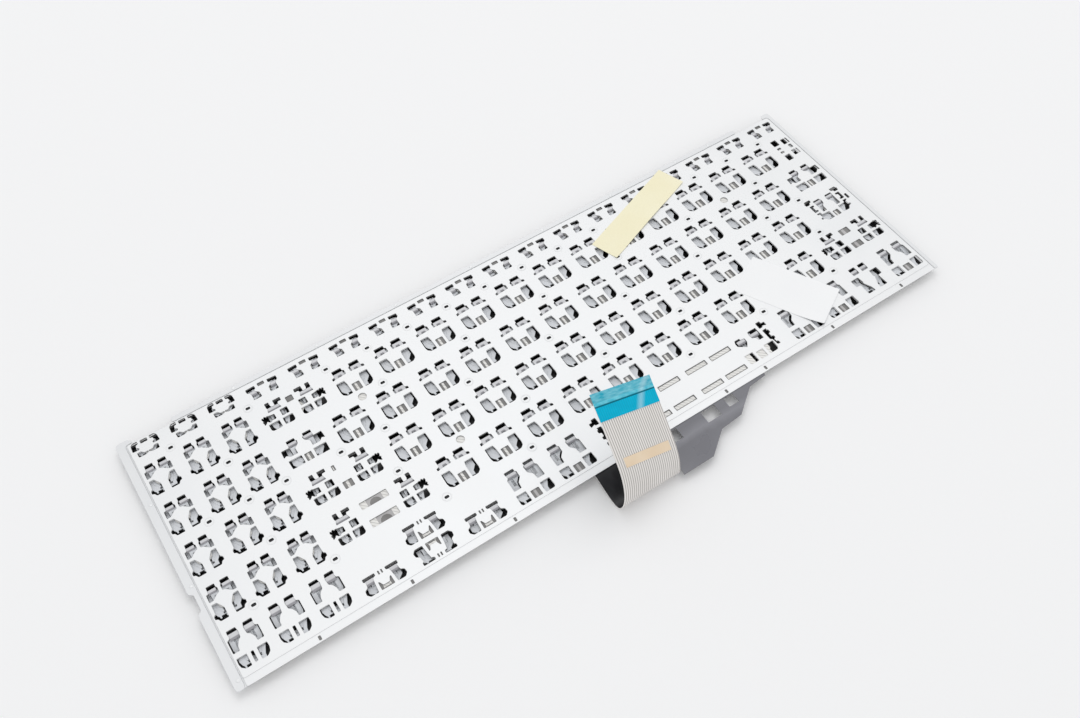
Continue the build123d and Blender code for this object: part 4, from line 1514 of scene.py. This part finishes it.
all_links()
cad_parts["space_wire"].data.materials.clear()
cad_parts["space_wire"].data.materials.append(WIRE_FINISH)


# Floor, light and camera
LAMP_AT = (0.5, 0.75, 2.2)
SENSOR = 36.0
PHOTO_WIDTH = 1080.0
FOCAL_PIXELS = 1037.0


def studio():
    bpy.ops.mesh.primitive_plane_add(size=6.0, location=(0, 0, 0))
    floor = bpy.context.object
    floor.name = "studio_floor"
    f = Finish("studio_floor")
    f.set(Base_Color=(0.92, 0.92, 0.925, 1), Roughness=0.7, Specular_IOR_Level=0.2)
    rays = f.node("ShaderNodeLightPath").outputs
    seen = f.math("MAXIMUM", rays["Is Camera Ray"], rays["Is Glossy Ray"])
    seen = f.math("MAXIMUM", seen, rays["Is Transmission Ray"])
    f.set(Emission_Color=(1, 1, 1, 1), Emission_Strength=f.math("MULTIPLY", seen, 0.04))
    floor.data.materials.append(f.material)
    world = bpy.data.worlds.new("studio_world")
    bpy.context.scene.world = world
    world.use_nodes = True
    sky = world.node_tree.nodes["Background"]
    sky.inputs["Color"].default_value = (0.99, 0.995, 1.0, 1)
    sky.inputs["Strength"].default_value = 0.78
    lamp = bpy.data.lights.new("rear_softbox", "AREA")
    lamp.size = 1.6
    lamp.energy = 10.5
    holder = bpy.data.objects.new("rear_softbox", lamp)
    bpy.context.collection.objects.link(holder)
    holder.location = LAMP_AT
    holder.rotation_euler = (-Vector(LAMP_AT)).to_track_quat("-Z", "Y").to_euler()


studio()

CAMERA_AT = (-129.667, -183.629, 350.068)
CAMERA_RIGHT = (0.833505, -0.552483, -0.005643)
CAMERA_UP = (0.46359, 0.693767, 0.551155)
CAMERA_AHEAD = (0.300589, 0.462007, -0.834384)


def photo_camera():
    camera = bpy.data.cameras.new("photo_camera")
    camera.sensor_fit = "HORIZONTAL"
    camera.sensor_width = SENSOR
    camera.lens = FOCAL_PIXELS / PHOTO_WIDTH * SENSOR
    camera.clip_start = 0.01
    holder = bpy.data.objects.new("photo_camera", camera)
    bpy.context.collection.objects.link(holder)
    turn = Matrix((CAMERA_RIGHT, CAMERA_UP, [-a for a in CAMERA_AHEAD])).transposed()
    holder.matrix_world = Matrix.Translation(Vector(CAMERA_AT) * MM) @ turn.to_4x4()
    bpy.context.scene.camera = holder


photo_camera()
bpy.context.scene.view_settings.view_transform = "Standard"
